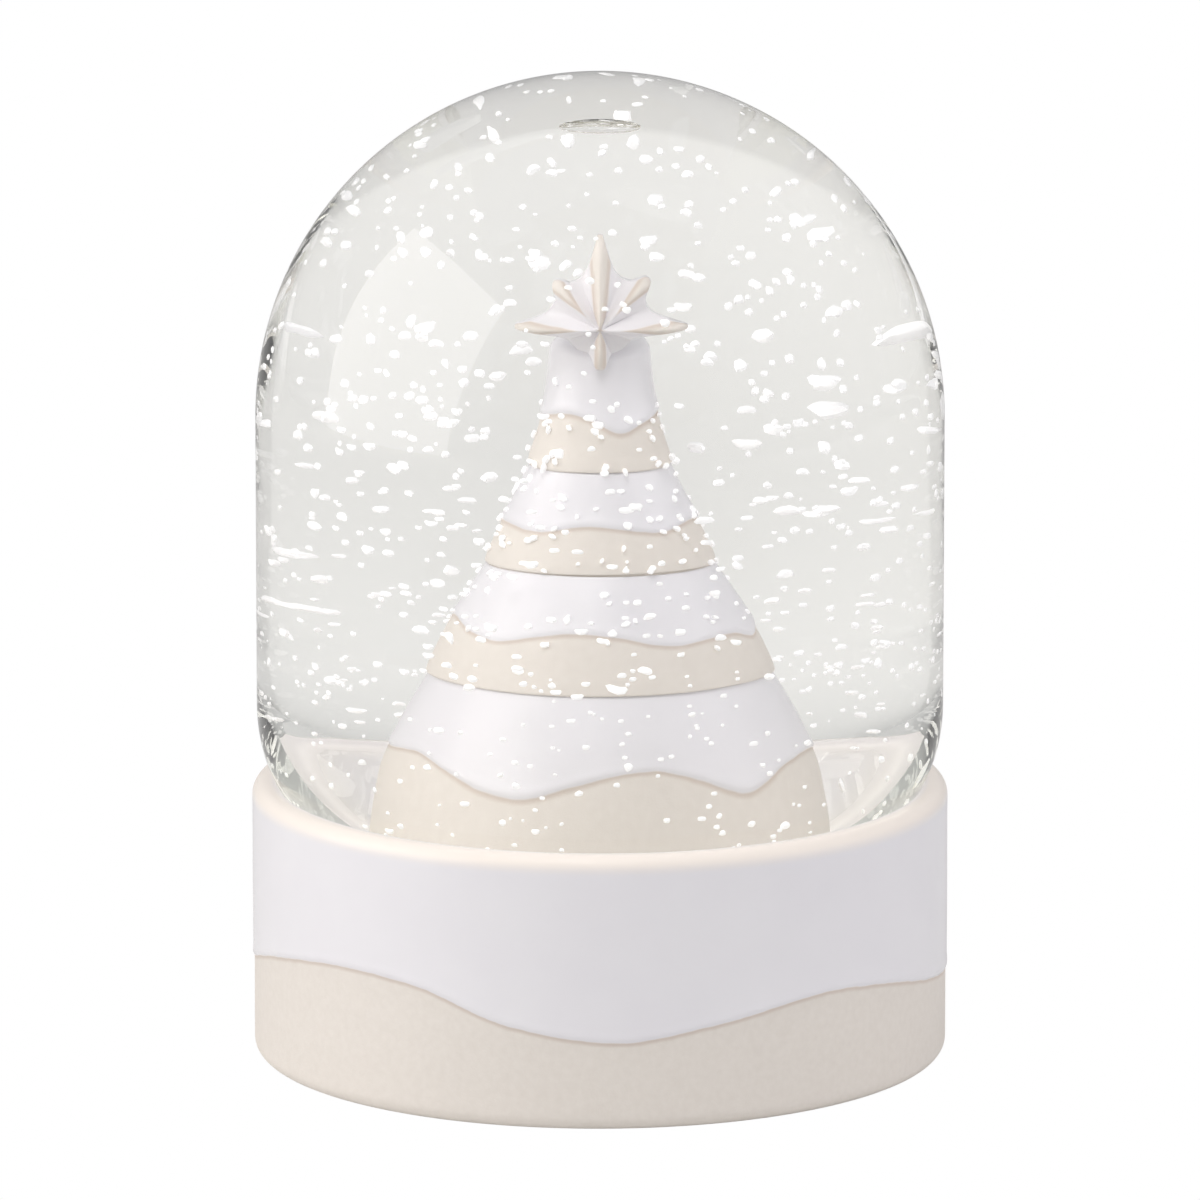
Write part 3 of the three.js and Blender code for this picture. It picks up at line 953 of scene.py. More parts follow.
@dataclass
class Dome:
    """The blown dome with its neck, and the pieces that close it.

    Attributes:
        glass: Thickness of the wall.
        shoulder_r: Round between the straight wall and the neck.
        shoulder_top: Height at which that round starts.
        neck: Outer radius of the neck.
        fillet: Hollow round between the shoulder and the neck.
        turns: How many columns of vertices the glass has.
        outer: Outer radius of the wall.
        top: Height of the crown.
        neck_end: Height of the neck's lower end.
    """

    glass: float = 2.6 * MM
    shoulder_r: float = 25.0 * MM
    shoulder_top: float = 51.5 * MM
    neck: float = 34.0 * MM
    fillet: float = 3.0 * MM
    turns: int = 288
    outer: float = field(init=False)
    top: float = field(init=False)
    neck_end: float = field(init=False)

    def __post_init__(self) -> None:
        """Takes the dome's outside sizes from its CAD node."""
        low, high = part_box("glass_dome")
        self.outer, self.top, self.neck_end = high.x, high.z, low.z

    @property
    def shoulder_x(self) -> float:
        """Radius at which the shoulder's round is centred."""
        return self.outer - self.shoulder_r

    @property
    def crown(self) -> float:
        """Height of the centre of the crown's hemisphere."""
        return self.top - self.outer

    def line(self, inset: float) -> list[Corner]:
        """Draws the wall's line from the neck up to the crown.

        Args:
            inset: How far it lies inside the outer surface.

        Returns:
            The line's corners.
        """
        fillet, rounding = self.fillet + inset, self.shoulder_r - inset
        fillet_x = self.neck + self.fillet
        reach = fillet_x - self.shoulder_x
        meet = math.degrees(math.acos(reach / (rounding + fillet)))
        fillet_z = self.shoulder_top - math.sqrt((rounding + fillet) ** 2 - reach**2)
        return [
            *arc(fillet_x, fillet_z, fillet, 180, 180 - meet, 10),
            *arc(self.shoulder_x, self.shoulder_top, rounding, -meet, 0, 24)[1:],
            *arc(0, self.crown, self.outer - inset, 0, 90, 72)[:-1],
            (0.0, self.top - inset, 0.0),
        ]

    def inner_radius(self, height: float, inset: float) -> float:
        """Radius of the space inside the glass at a height, less an inset."""
        points = np.array(self.line(self.glass + inset))[:, :2]
        return float(np.interp(height, points[:, 1], points[:, 0]))

    def build(self) -> None:
        """Builds the glass, the stopper with its plug, and the sealant bead."""
        self._glass()
        self._stopper()
        self._plug()
        self._bead()

    def _glass(self) -> None:
        """Blows the glass wall: one closed shell with a wetted inside."""
        inside = self.line(self.glass)[::-1]
        soft = 0.6 * MM
        end = [(self.neck - self.glass, self.neck_end, soft), (self.neck, self.neck_end, soft)]
        shell = Turned(outline([*inside, *end, *self.line(0.0)], False, 2.0 * MM), False, self.turns)
        piece = shell.build("blown_dome")
        wetted = int(np.argmin(shell.rows[:, 1])) * self.turns
        crown = len(piece.data.vertices) - 2
        sides = [int(i < wetted or crown in p.vertices) for i, p in enumerate(piece.data.polygons)]
        piece.data.polygons.foreach_set("material_index", sides)
        piece.visible_shadow = False
        piece.visible_diffuse = False
        glass = BlownSodaLimeGlass()
        finishes = [glass.material(GlassSide.IN_AIR), glass.material(GlassSide.WETTED)]
        seat(piece, Body.GLOBE, Slot.GLASS, finishes, "glass_dome")

    def _stopper(self) -> None:
        """Moulds the ribbed rubber stopper, with the raised disc that centres the tree."""
        low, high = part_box("rubber_stopper")
        bore = self.neck - self.glass - 0.15 * MM
        flange_top = self.neck_end - 0.3 * MM
        boss_top, boss, shoulder = high.z, 20.4 * MM, 22.4 * MM
        rib, pitch, soft = 0.7 * MM, 4.2 * MM, 0.4 * MM
        valley = ((rib, 1.0 * MM), (rib, 2.0 * MM), (0.0, 2.8 * MM), (0.0, 3.4 * MM))
        ribs = [
            (bore - depth, flange_top + k * pitch + rise, soft)
            for k in range(3)
            for depth, rise in valley
        ]
        corners = [
            (0.0, low.z, 0.0), (high.x, low.z, soft), (high.x, flange_top, soft),
            (bore, flange_top, 0.2 * MM), *ribs, (bore, shoulder, 1.0 * MM), (boss, shoulder, 0.6 * MM),
            (boss, boss_top, 0.8 * MM),
            (0.0, boss_top, 0.0),
        ]
        piece = Turned(outline(corners, False, 1.4 * MM), False, 160).build("ribbed_stopper")
        seat(piece, Body.GLOBE, Slot.RUBBER, [MOULDED_RUBBER.material()], "rubber_stopper")

    def _plug(self) -> None:
        """Moulds the push-in plug of the filling hole."""
        low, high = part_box("fill_plug")
        middle = (low + high) / 2
        head, stem, soft = (high.x - low.x) / 2, 3.0 * MM, 0.25 * MM
        head_top = low.z + 0.7 * MM
        corners = [
            (0.0, low.z, 0.0), (head, low.z, soft), (head, head_top, soft), (stem, head_top, soft),
            (stem, high.z, 1.2 * MM), (0.0, high.z, 0.0),
        ]
        piece = Turned(outline(corners, False, 0.8 * MM), False, 48).build("filling_plug")
        piece.location = (middle.x, middle.y, 0.0)
        bpy.context.view_layer.update()
        seat(piece, Body.GLOBE, Slot.RUBBER, [MOULDED_RUBBER.material()], "fill_plug")

    def _bead(self) -> None:
        """Runs the bead of sealant around the neck, with a hand's wobble."""
        low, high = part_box("sealant_bead")
        middle, half = (low.z + high.z) / 2, (high.z - low.z) / 2
        inner = self.neck + 0.2 * MM
        belly = [
            (inner + (high.x - inner) * math.cos(a), middle + half * math.sin(a), 0.0)
            for a in np.linspace(-math.pi / 2, math.pi / 2, 15)
        ]
        bead = Turned(outline(belly, True, 0.8 * MM), True, 192)
        wobble = 0.12 * MM * (np.sin(11 * bead.angle_grid) + np.sin(17 * bead.angle_grid + 1)) / 2
        piece = bead.build("seal_bead", -np.abs(wobble) * (bead.radius_grid > inner + 0.4 * MM))
        seat(piece, Body.GLOBE, Slot.SEALANT, [SILICONE_SEALANT.material()], "sealant_bead")


# ---- Tree and star --------------------------------------------------------------------------


@dataclass(frozen=True)
class Tier:
    """One bell of the tree, in millimetres.

    Attributes:
        top: Height of its upper edge.
        top_r: Radius there.
        bottom: Height of its lower edge.
        bottom_r: Radius there.
        bulge: How far its side swells beyond a straight cone.
        glaze_marks: Points of its glaze line.
    """

    top: float
    top_r: float
    bottom: float
    bottom_r: float
    bulge: float
    glaze_marks: Marks

    def radius(self, t: float) -> float:
        """Radius at a share t of the way up its side."""
        return self.bottom_r + (self.top_r - self.bottom_r) * t + self.bulge * math.sin(math.pi * t)


@dataclass
class Tree:
    """The hollow ceramic tree with its glue ring, and the star luted to its top.

    Attributes:
        tiers: Its bells, from the foot upwards.
        wall: Thickness of its wall.
        cavity_top: Height of its hollow's top.
        glaze_thick: How far the glaze stands proud of the clay.
        wobble: Unevenness of the fettled clay.
        tuck: Share of an upper tier's side that lies in the crease below it.
        bare: Height given to what lies wholly below the glaze.
        turns: How many columns of vertices it has.
    """

    tiers: tuple[Tier, ...] = (
        Tier(58.3, 18.0, 25.1, 25.2, 2.3, (
            (-91, 47.2), (-68, 47.9), (-52, 46.3), (-38, 44.9), (-23, 44.5), (-8, 46.0), (6, 47.4),
            (19, 47.7), (31, 46.3), (47, 44.4), (57, 44.9), (70, 46.4), (92, 46.8), (125, 44.8),
            (160, 47.2), (200, 45.0), (238, 46.8))),
        Tier(74.9, 11.8, 58.1, 18.8, 0.5, (
            (-86, 67.0), (-62, 65.6), (-45, 65.0), (-25, 66.2), (-9, 66.7), (8, 66.2), (22, 65.1),
            (36, 64.7), (52, 65.2), (67, 65.2), (83, 64.2), (110, 66.2), (150, 65.0), (190, 66.6),
            (235, 65.4))),
        Tier(88.5, 7.2, 74.7, 12.5, 0.25, (
            (-80, 81.0), (-40, 80.4), (-12, 81.4), (14, 81.1), (40, 80.4), (75, 81.4), (120, 80.4),
            (170, 81.6), (225, 80.4))),
        Tier(101.0, 5.2, 88.3, 7.85, -0.5, (
            (-74, 93.8), (-36, 94.6), (-6, 93.9), (20, 92.6), (44, 93.3), (84, 94.0), (130, 93.0),
            (180, 94.4), (235, 93.2))),
    )
    wall: float = 3.4 * MM
    cavity_top: float = 83.3 * MM
    glaze_thick: float = 0.22 * MM
    wobble: float = 0.12 * MM
    tuck: float = 0.09
    bare: float = -6 * MM
    turns: int = 480

    def build(self, stoneware: Material) -> None:
        """Builds the tree, the glue under it and the star on it.

        Args:
            stoneware: The material of the tree and the star.
        """
        self._body(stoneware)
        self._glue()
        Star().build(stoneware)

    def side(self, tier: Tier, count: int = 22) -> list[Corner]:
        """Draws one tier's side from its lower edge upwards.

        Args:
            tier: The tier.
            count: How many corners to draw.

        Returns:
            The side's corners.
        """
        start = 0.0 if tier is self.tiers[0] else self.tuck
        return [
            (tier.radius(t) * MM, (tier.bottom + (tier.top - tier.bottom) * t) * MM, 0.0)
            for t in np.linspace(start, 1, count)
        ]

    def radius(self, height: float) -> float:
        """Measures the tree's outer radius at a height.

        Args:
            height: The height, in metres.

        Returns:
            The radius, in metres.
        """
        for tier in self.tiers:
            if tier.bottom * MM <= height <= tier.top * MM:
                return tier.radius((height / MM - tier.bottom) / (tier.top - tier.bottom)) * MM
        return self.tiers[-1].top_r * MM if height > self.tiers[-1].top * MM else 0.0

    def _body(self, stoneware: Material) -> None:
        """Casts the tree: each tier white above its own wavy line.

        Args:
            stoneware: Its material.
        """
        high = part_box("tree_body")[1]
        foot = self.tiers[0]
        hollow = [
            (0.0, self.cavity_top, 0.0),
            *((t.top_r * MM - self.wall, t.bottom * MM + 4 * MM, 2 * MM) for t in self.tiers[2::-1]),
            (foot.bottom_r * MM - self.wall - 1 * MM, 40 * MM, 3 * MM),
            (foot.bottom_r * MM - self.wall, foot.bottom * MM, 0.8 * MM),
            (foot.bottom_r * MM - 0.2 * MM, foot.bottom * MM, 0.5 * MM),
        ]
        shell = list(hollow)
        for tier in self.tiers:
            if tier is not foot:
                shell.append((tier.bottom_r * MM - 0.1 * MM, tier.bottom * MM, 0.95 * MM))
            shell += self.side(tier)
        crown = self.tiers[-1]
        rise = high.z - crown.top * MM
        shell += [
            (crown.top_r * MM * math.cos(a), crown.top * MM + rise * math.sin(a), 0.0)
            for a in np.radians(np.linspace(20, 82, 10))
        ]
        shell.append((0.0, high.z, 0.0))
        body = Turned(outline(shell, False, 0.4 * MM), False, self.turns)
        above = self._above(body)
        lift = glaze_relief(above, self.glaze_thick) + hand_wobble(body, self.wobble)
        piece = body.build("ceramic_tree", lift)
        paint(piece, "glaze_mm", above / MM)
        paint(piece, "thin_glaze_highlight", np.zeros_like(above))
        paint(piece, "painted_light_glow", np.zeros_like(above))
        seat(piece, Body.GLOBE, Slot.STONEWARE, [stoneware], "tree_body")

    def _above(self, body: Turned) -> np.ndarray:
        """Measures how far the tree lies above its glaze lines.

        Args:
            body: The turned tree.

        Returns:
            Each ring vertex's height above the line of the tier that it belongs to.
        """
        heights = body.height_grid
        above = np.full_like(heights, self.bare)
        foot = int(np.argmax(body.rows[:, 0]))
        outside = np.arange(len(body.rows))[:, None] >= min(foot, int(np.argmin(body.rows[:, 1])))
        for tier in self.tiers:
            mine = outside & (heights >= tier.bottom * MM - 0.05 * MM)
            above = np.where(mine, heights - wave_line(tier.glaze_marks, body.angle_grid), above)
        return above

    def _glue(self) -> None:
        """Lays the thin ring of glue under the tree's foot."""
        low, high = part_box("tree_glue")
        inner = high.x - self.wall + 0.6 * MM
        soft = 0.2 * MM
        corners = [(inner, low.z, soft), (high.x, low.z, soft), (high.x, high.z, soft), (inner, high.z, soft)]
        piece = Turned(outline(corners, True, 0.8 * MM), True, 160).build("glue_ring")
        seat(piece, Body.GLOBE, Slot.SEALANT, [SILICONE_SEALANT.material()], "tree_glue")


@dataclass(frozen=True)
class Arm:
    """One arm of the star, in millimetres.

    Attributes:
        length: From the star's middle to its tip.
        notch: Radius of the notch between it and the next arm.
        rib: Height of its rib above the web.
        bare: Half-width of the bare clay along its rib at the middle.
        bare_growth: What each millimetre outwards adds to that.
    """

    length: float
    notch: float
    rib: float
    bare: float
    bare_growth: float


@dataclass
class Star:
    """The star on the treetop: ribs of bare clay along its arms, white glaze pooled between them.

    Attributes:
        arms: Its arms, every 45 degrees from the right-hand one upwards.
        web: Height of the webs' middle above the star's middle plane.
        back: Depth behind that plane.
        edge: Half the thickness of its rim.
        tip_round: Round of the tips.
        round_from: Length from which an arm has a tip of its own. Shorter ones melt into the web.
        rib_width: Half-width of a rib at the middle, and what each millimetre outwards adds.
        forward: How far in front of the tree's axis it stands, in metres.
        lean: How far its top leans back.
        rings: How many rings of vertices each side has.
        spokes: How many spokes of vertices lie on each side of an arm.
    """

    arms: tuple[Arm, ...] = (
        Arm(9.9, 5.9, 1.5, -0.5, 0.17), Arm(7.9, 6.2, 1.2, -0.5, 0.19), Arm(10.8, 6.1, 1.7, 0.5, 0.09),
        Arm(7.4, 6.0, 1.2, -0.5, 0.2), Arm(9.6, 3.9, 1.5, -0.5, 0.17), Arm(2.7, 3.3, 0.0, -1.0, 0.0),
        Arm(4.9, 3.3, 1.3, 0.5, 0.03), Arm(2.7, 3.9, 0.0, -1.0, 0.0),
    )
    web: float = 1.9
    back: float = 1.9
    edge: float = 0.5
    tip_round: float = 0.75
    round_from: float = 4.5
    rib_width: tuple[float, float] = (0.62, 0.07)
    forward: float = 5.0 * MM
    lean: float = math.radians(4)
    rings: int = 18
    spokes: int = 18

    def build(self, stoneware: Material) -> None:
        """Builds the star in place of its CAD node.

        Args:
            stoneware: Its material.
        """
        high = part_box("tree_star")[1]
        angle, arm, off = self._spread()
        reach = self._reach(arm, off)
        length = np.array([a.length for a in self.arms])[arm]
        rib = np.array([a.rib for a in self.arms])[arm]
        bare = np.array([a.bare for a in self.arms])[arm]
        growth = np.array([a.bare_growth for a in self.arms])[arm]
        vertices: list[tuple[float, float, float]] = []
        glaze: list[float] = []
        for side in (-1, 1):
            for k in range(1, self.rings + 1):
                share = (k / self.rings) ** 0.8
                rho = reach * share
                along, gap = rho * np.cos(off), np.abs(rho * np.sin(off))
                depth = self._depth(side, share, gap, along / length, along, rib)
                covered = np.ones_like(gap)
                if side < 0:
                    covered = np.clip((gap - bare - growth * along) * 1.2, -3, 3)
                for a, radius, d, cover in zip(angle, rho, depth, covered):
                    vertices.append((radius * math.cos(a) * MM, side * d * MM, radius * math.sin(a) * MM))
                    glaze.append(float(cover))
        front, back = len(vertices), len(vertices) + 1
        vertices += [(0, -(self.web + 1.2) * MM, 0), (0, self.back * MM, 0)]
        glaze += [-0.3, 1.0]
        piece = new_piece("ribbed_star", vertices, self._faces(len(angle), front, back))
        values = np.array(glaze)
        paint(piece, "glaze_mm", values)
        # The whole star takes a little thin glaze with its painted highlight.
        paint(piece, "thin_glaze_highlight", np.full_like(values, 0.1))
        paint(piece, "painted_light_glow", np.zeros_like(values))
        piece.rotation_euler = Euler((-self.lean, 0, 0))
        piece.location = Vector((0.0, -self.forward, high.z - (self.arms[2].length + 0.1) * MM))
        bpy.context.view_layer.update()
        seat(piece, Body.GLOBE, Slot.STONEWARE, [stoneware], "tree_star")

    def _spread(self) -> tuple[np.ndarray, np.ndarray, np.ndarray]:
        """Spreads the spokes around the star, denser near the arms.

        Returns:
            Each spoke's angle, the number of its arm, and its angle from that arm.
        """
        half = math.pi / len(self.arms)
        steps = np.arange(-self.spokes, self.spokes)
        off = np.sign(steps) * (np.abs(steps) / self.spokes) ** 1.5 * half
        arm = np.repeat(np.arange(len(self.arms)), len(off))
        off = np.tile(off, len(self.arms))
        return arm * 2 * half + off, arm, off

    def _reach(self, arm: np.ndarray, off: np.ndarray) -> np.ndarray:
        """Draws the star's outline: from tip to notch with a slight hollow, rounded at the tips.

        Args:
            arm: The number of each spoke's arm.
            off: Each spoke's angle from that arm.

        Returns:
            The outline's radius at each spoke, in millimetres.
        """
        half = math.pi / len(self.arms)
        tips = np.array([a.length for a in self.arms])[arm]
        notches = np.array([a.notch for a in self.arms])
        notch = np.where(off >= 0, notches[arm], notches[arm - 1])
        theta = np.abs(off)
        tip = np.stack([tips + 1.2 * self.tip_round, np.zeros_like(tips)], 1)
        way = np.stack([notch * math.cos(half), notch * math.sin(half)], 1) - tip
        ray = np.stack([np.cos(theta), np.sin(theta)], 1)
        cross = ray[:, 0] * way[:, 1] - ray[:, 1] * way[:, 0]
        straight = (tip[:, 0] * way[:, 1] - tip[:, 1] * way[:, 0]) / cross
        hollow = straight * (1 - 0.09 * np.sin(math.pi * theta / half) * (tips > 5))
        cap = tips - (theta * tips) ** 2 / (2 * self.tip_round)
        at_tip = (theta * tips < 2 * self.tip_round) & (tips > self.round_from)
        return np.where(at_tip, np.minimum(hollow, cap), hollow)

    def _depth(
        self, side: int, share: float, gap: np.ndarray, out: np.ndarray, along: np.ndarray, rib: np.ndarray
    ) -> np.ndarray:
        """Shapes the star's depth: webs that fall to the rim with ribs on them, a low dome behind.

        Args:
            side: -1 in front, 1 behind.
            share: Share of the way from the middle to the outline.
            gap: Distance from the arm's centre line.
            out: Share of the way along the arm.
            along: Distance along the arm.
            rib: Height of the arm's rib.

        Returns:
            Distance from the middle plane at each spoke, in millimetres.
        """
        if side > 0:
            return self.edge + (self.back - self.edge) * (1 - share**2) * np.ones_like(gap)
        web = self.edge + (self.web - self.edge) * (1 - share) ** 0.9
        width = self.rib_width[0] + self.rib_width[1] * along
        fall = np.sqrt(np.clip(1 - out**4, 0, 1))
        start = 1 - 0.25 * np.exp(-((along / 1.5) ** 2))
        return web + (rib + 0.5 * share) * np.exp(-((gap / width) ** 2)) * fall * start * (rib > 0)

    def _faces(self, count: int, front: int, back: int) -> list[tuple[int, ...]]:
        """Joins the vertices: quads over both sides, a fan at each middle, and the rim between.

        Args:
            count: How many spokes there are.
            front: The front middle's vertex.
            back: The back middle's vertex.

        Returns:
            The faces.
        """
        faces: list[tuple[int, ...]] = []
        other = self.rings * count
        rim = (self.rings - 1) * count
        for j in range(count):
            k = (j + 1) % count
            faces.append((front, j, k))
            faces.append((back, other + k, other + j))
            for ring in range(self.rings - 1):
                a, b = ring * count, (ring + 1) * count
                faces.append((a + j, b + j, b + k, a + k))
                faces.append((other + a + k, other + b + k, other + b + j, other + a + j))
            faces.append((rim + j, other + rim + j, other + rim + k, rim + k))
        return faces


# ---- Liquid, bubble and flakes --------------------------------------------------------------


@dataclass
class Cloud:
    """A part of the flurry: how many flakes, where they drift and how they lie.

    Attributes:
        name: The piece's name.
        count: How many flakes it has.
        low: Its lower height, in mm.
        high: Its upper height, in mm.
        size: Middle flake size across, in mm.
        tilt: Spread of the flakes' tilt from lying flat, in degrees.
        stretch: Length over width.
        outward: Above 1, flakes gather towards the glass.
    """

    name: str
    count: int
    low: float
    high: float
    size: float
    tilt: float
    stretch: float
    outward: float = 1.0


@dataclass
class Snow:
    """The liquid, the bubble under the crown, and the flakes that swirl with the liquid.

    Attributes:
        dome: The glass that holds them.
        tree: The tree that they clear.
        clouds: The parts of the flurry.
        star_clear: Lower and upper height of the space that the star sweeps, and its radius.
        tree_gap: Room left around the tree.
        glass_gap: Room left inside the glass.
        settled: How many flakes are caught on the tree.
        settled_at: Middle and spread of the heights, in mm, where they are caught.
        settled_from: Lowest and highest of those heights.
        settled_size: Their middle size.
        bubble_r: Half-length of the bubble.
        bubble_deep: Its depth.
        bubble_lean: How far it has slid forward from the crown, as an angle.
        bubble_narrow: Its width over its length.
        seed: Seed of all random draws.
    """

    dome: Dome
    tree: Tree
    clouds: tuple[Cloud, ...] = (
        Cloud("flurry_low", 430, 38, 64, 0.9, 50, 1.3, 1.3),
        Cloud("flurry_drift", 520, 60, 100, 1.35, 26, 1.7, 1.15),
        Cloud("flurry_high", 330, 94, 124, 1.2, 70, 1.25),
        Cloud("flurry_crown", 80, 120, 138, 1.25, 80, 1.3),
    )
    star_clear: tuple[float, float, float] = (96 * MM, 118 * MM, 11.7 * MM)
    tree_gap: float = 1.2 * MM
    glass_gap: float = 1.1 * MM
    settled: int = 210
    settled_at: Marks = ((84, 2.5), (78, 2.2), (69.5, 2.4), (91, 3))
    settled_from: tuple[float, float] = (61, 98)
    settled_size: float = 0.9 * MM
    bubble_r: float = 5.6 * MM
    bubble_deep: float = 1.1 * MM
    bubble_lean: float = math.radians(19.5)
    bubble_narrow: float = 0.3
    seed: int = 20

    def build(self) -> None:
        """Builds the liquid, the bubble and every flake."""
        film = SnowFilm().material()
        self._liquid()
        self._bubble()
        rng = np.random.default_rng(self.seed)
        for cloud in self.clouds:
            self._cloud(cloud, rng, film)
        self._large(rng, film)
        self._settled(rng, film)

    def _liquid(self) -> None:
        """Fills the glass: the liquid's own skin lies a hair inside it."""
        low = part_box("liquid_fill")[0]
        hair = 0.12 * MM
        wall = self.dome.line(self.dome.glass + hair)
        bottom = low.z - 0.2 * MM
        corners = [(0.0, bottom, 0.0), (wall[0][0], bottom, 0.3 * MM), *wall]
        piece = Turned(outline(corners, False, 2.5 * MM), False, 160).build("globe_water")
        piece.visible_shadow = False
        piece.visible_diffuse = False
        seat(piece, Body.SNOW, Slot.LIQUID, [GlobeLiquid().material()], "liquid_fill")

    def _bubble(self) -> None:
        """Leaves a flat lens of air, which the stirring has pushed a little forward from the crown."""
        reach, thick = self.bubble_r, self.bubble_deep
        sphere = self.dome.outer - self.dome.glass - 0.3 * MM
        turns = np.linspace(math.asin(reach / sphere), 0, 9)
        cap = [(sphere * math.sin(a), self.dome.crown + sphere * math.cos(a), 0.0) for a in turns]
        rim_z = cap[0][1]
        belly = [
            (reach * math.sin(a), rim_z - thick * math.cos(a) ** 0.8, 0.0)
            for a in np.linspace(0, math.pi / 2 - 0.05, 12)
        ]
        corners = [*belly, *cap[:-1], (0.0, cap[-1][1], 0.0)]
        piece = Turned(outline(corners, False, 0.6 * MM), False, 64).build("air_bubble")
        centre = Matrix.Translation((0, 0, self.dome.crown))
        narrow = Matrix.Scale(self.bubble_narrow, 4, Vector((0, 1, 0)))
        piece.data.transform(centre @ Matrix.Rotation(self.bubble_lean, 4, "X") @ narrow @ centre.inverted())
        piece.visible_shadow = False
        piece.visible_diffuse = False
        seat(piece, Body.SNOW, Slot.LIQUID, [AirInLiquid().material()])

    def _cloud(self, cloud: Cloud, rng: np.random.Generator, film: Material) -> None:
        """Scatters one part of the flurry, as one mesh of separate closed chips.

        Args:
            cloud: The part.
            rng: The source of random draws.
            film: The flakes' material.
        """
        star_low, star_high, star_r = self.star_clear
        mesh = ChipMesh(rng)
        for _ in range(cloud.count):
            height = rng.uniform(cloud.low, cloud.high) * MM
            inner = self.tree.radius(height) + self.tree_gap
            if height > star_low:
                inner = star_r if height < star_high else 0.5 * MM
            outer = self.dome.inner_radius(height, self.glass_gap)
            share = rng.uniform() ** (1 / (2 * cloud.outward))
            radius = inner + (outer - inner) * share
            azimuth = rng.uniform(0, FULL_TURN)
            size = cloud.size * MM * float(np.clip(rng.lognormal(0, 0.32), 0.55, 2.0))
            tilt = math.radians(cloud.tilt) * rng.normal(0, 0.7)
            turn = Matrix.Rotation(azimuth + math.pi / 2 + rng.normal(0, 0.35), 3, "Z")
            lean = Matrix.Rotation(tilt, 3, "X") @ Matrix.Rotation(tilt * rng.uniform(-0.6, 0.6), 3, "Y")
            place = Vector((radius * math.cos(azimuth), radius * math.sin(azimuth), height))
            mesh.chip(place, turn @ lean, size, cloud.stretch * rng.uniform(0.8, 1.3))
        seat(mesh.piece(cloud.name), Body.SNOW, Slot.FLAKE, [film])

    def _large(self, rng: np.random.Generator, film: Material) -> None:
        """Places the larger flakes near the glass, each standing for its own CAD node.

        Args:
            rng: The source of random draws.
            film: The flakes' material.
        """
        names = sorted(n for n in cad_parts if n.startswith("snow_flake_"))
        for name in names:
            low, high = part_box(name)
            place = (low + high) / 2
            out = Vector((place.x, place.y, max(0.0, place.z - self.dome.crown))).normalized()
            turn = out.to_track_quat("Z", "Y").to_matrix() @ Matrix.Rotation(rng.uniform(0, 6.28), 3, "Z")
            mesh = ChipMesh(rng)
            mesh.chip(place, turn, (high - low).length * 0.58, rng.uniform(1.0, 1.6))
            piece = mesh.piece(name.replace("snow_", "large_"))
            seat(piece, Body.SNOW, Slot.FLAKE, [film], name)

    def _settled(self, rng: np.random.Generator, film: Material) -> None:
        """Drops the small flakes caught on the tree, mostly on the second and third tiers.

        Args:
            rng: The source of random draws.
            film: The flakes' material.
        """
        mesh = ChipMesh(rng)
        for _ in range(self.settled):
            height = rng.choice([rng.normal(middle, spread) for middle, spread in self.settled_at])
            height = float(np.clip(height, *self.settled_from)) * MM
            azimuth = rng.uniform(0, FULL_TURN)
            radius = self.tree.radius(height) + 0.35 * MM
            if radius < 2 * MM:
                continue
            place = Vector((radius * math.cos(azimuth), radius * math.sin(azimuth), height))
            out = Vector((math.cos(azimuth), math.sin(azimuth), 0.45))
            turn = out.to_track_quat("Z", "Y").to_matrix() @ Matrix.Rotation(rng.uniform(0, 6.28), 3, "Z")
            mesh.chip(place, turn, self.settled_size * float(rng.uniform(0.7, 1.5)), rng.uniform(1.0, 1.8))
        seat(mesh.piece("caught_flakes"), Body.GLOBE, Slot.FLAKE, [film])


@dataclass
class ChipMesh:
    """Collects small irregular chips, each a closed curled plate, into one mesh.

    Attributes:
        rng: The source of random draws.
        least_thick: Thickness of the thinnest chip.
        thicker: What each metre of size adds to that.
        rim_share: Width of a chip's two faces over its widest section.
        vertices: The points so far.
        faces: The faces so far.
    """

    rng: np.random.Generator
    least_thick: float = 0.16 * MM
    thicker: float = 0.3
    rim_share: float = 0.72
    vertices: list[Vector] = field(default_factory=list)
    faces: list[tuple[int, ...]] = field(default_factory=list)

    def chip(self, place: Vector, turn: Matrix, size: float, stretch: float) -> None:
        """Adds one chip.

        Args:
            place: Its middle.
            turn: Its rotation from lying flat.
            size: How wide it is.
            stretch: Its length over its width.
        """
        sides = int(self.rng.integers(6, 10))
        thick = self.least_thick + self.thicker * size
        curl = self.rng.uniform(-0.5, 0.5) / size
        start = len(self.vertices)
        bend = self.rng.uniform(0.6, 1.0, sides)
        for level, share in ((-0.5, self.rim_share), (0.0, 1.0), (0.5, self.rim_share)):
            for k in range(sides):
                a = FULL_TURN * k / sides
                x = 0.5 * size * stretch**0.5 * bend[k] * share * math.cos(a)
                y = 0.5 * size / stretch**0.5 * bend[k] * share * math.sin(a)
                self.vertices.append(turn @ Vector((x, y, level * thick + curl * x * x)) + place)
        for level in (-0.5, 0.5):
            self.vertices.append(turn @ Vector((0, 0, level * thick * 1.2)) + place)
        under, over = start + 3 * sides, start + 3 * sides + 1
        for k in range(sides):
            n = (k + 1) % sides
            for ring in (start, start + sides):
                self.faces.append((ring + k, ring + n, ring + sides + n, ring + sides + k))
            self.faces.append((start + n, start + k, under))
            self.faces.append((start + 2 * sides + k, start + 2 * sides + n, over))

    def piece(self, name: str) -> Object:
        """Makes the object of all chips added so far."""
        return new_piece(name, self.vertices, self.faces)


# ---- Studio ---------------------------------------------------------------------------------


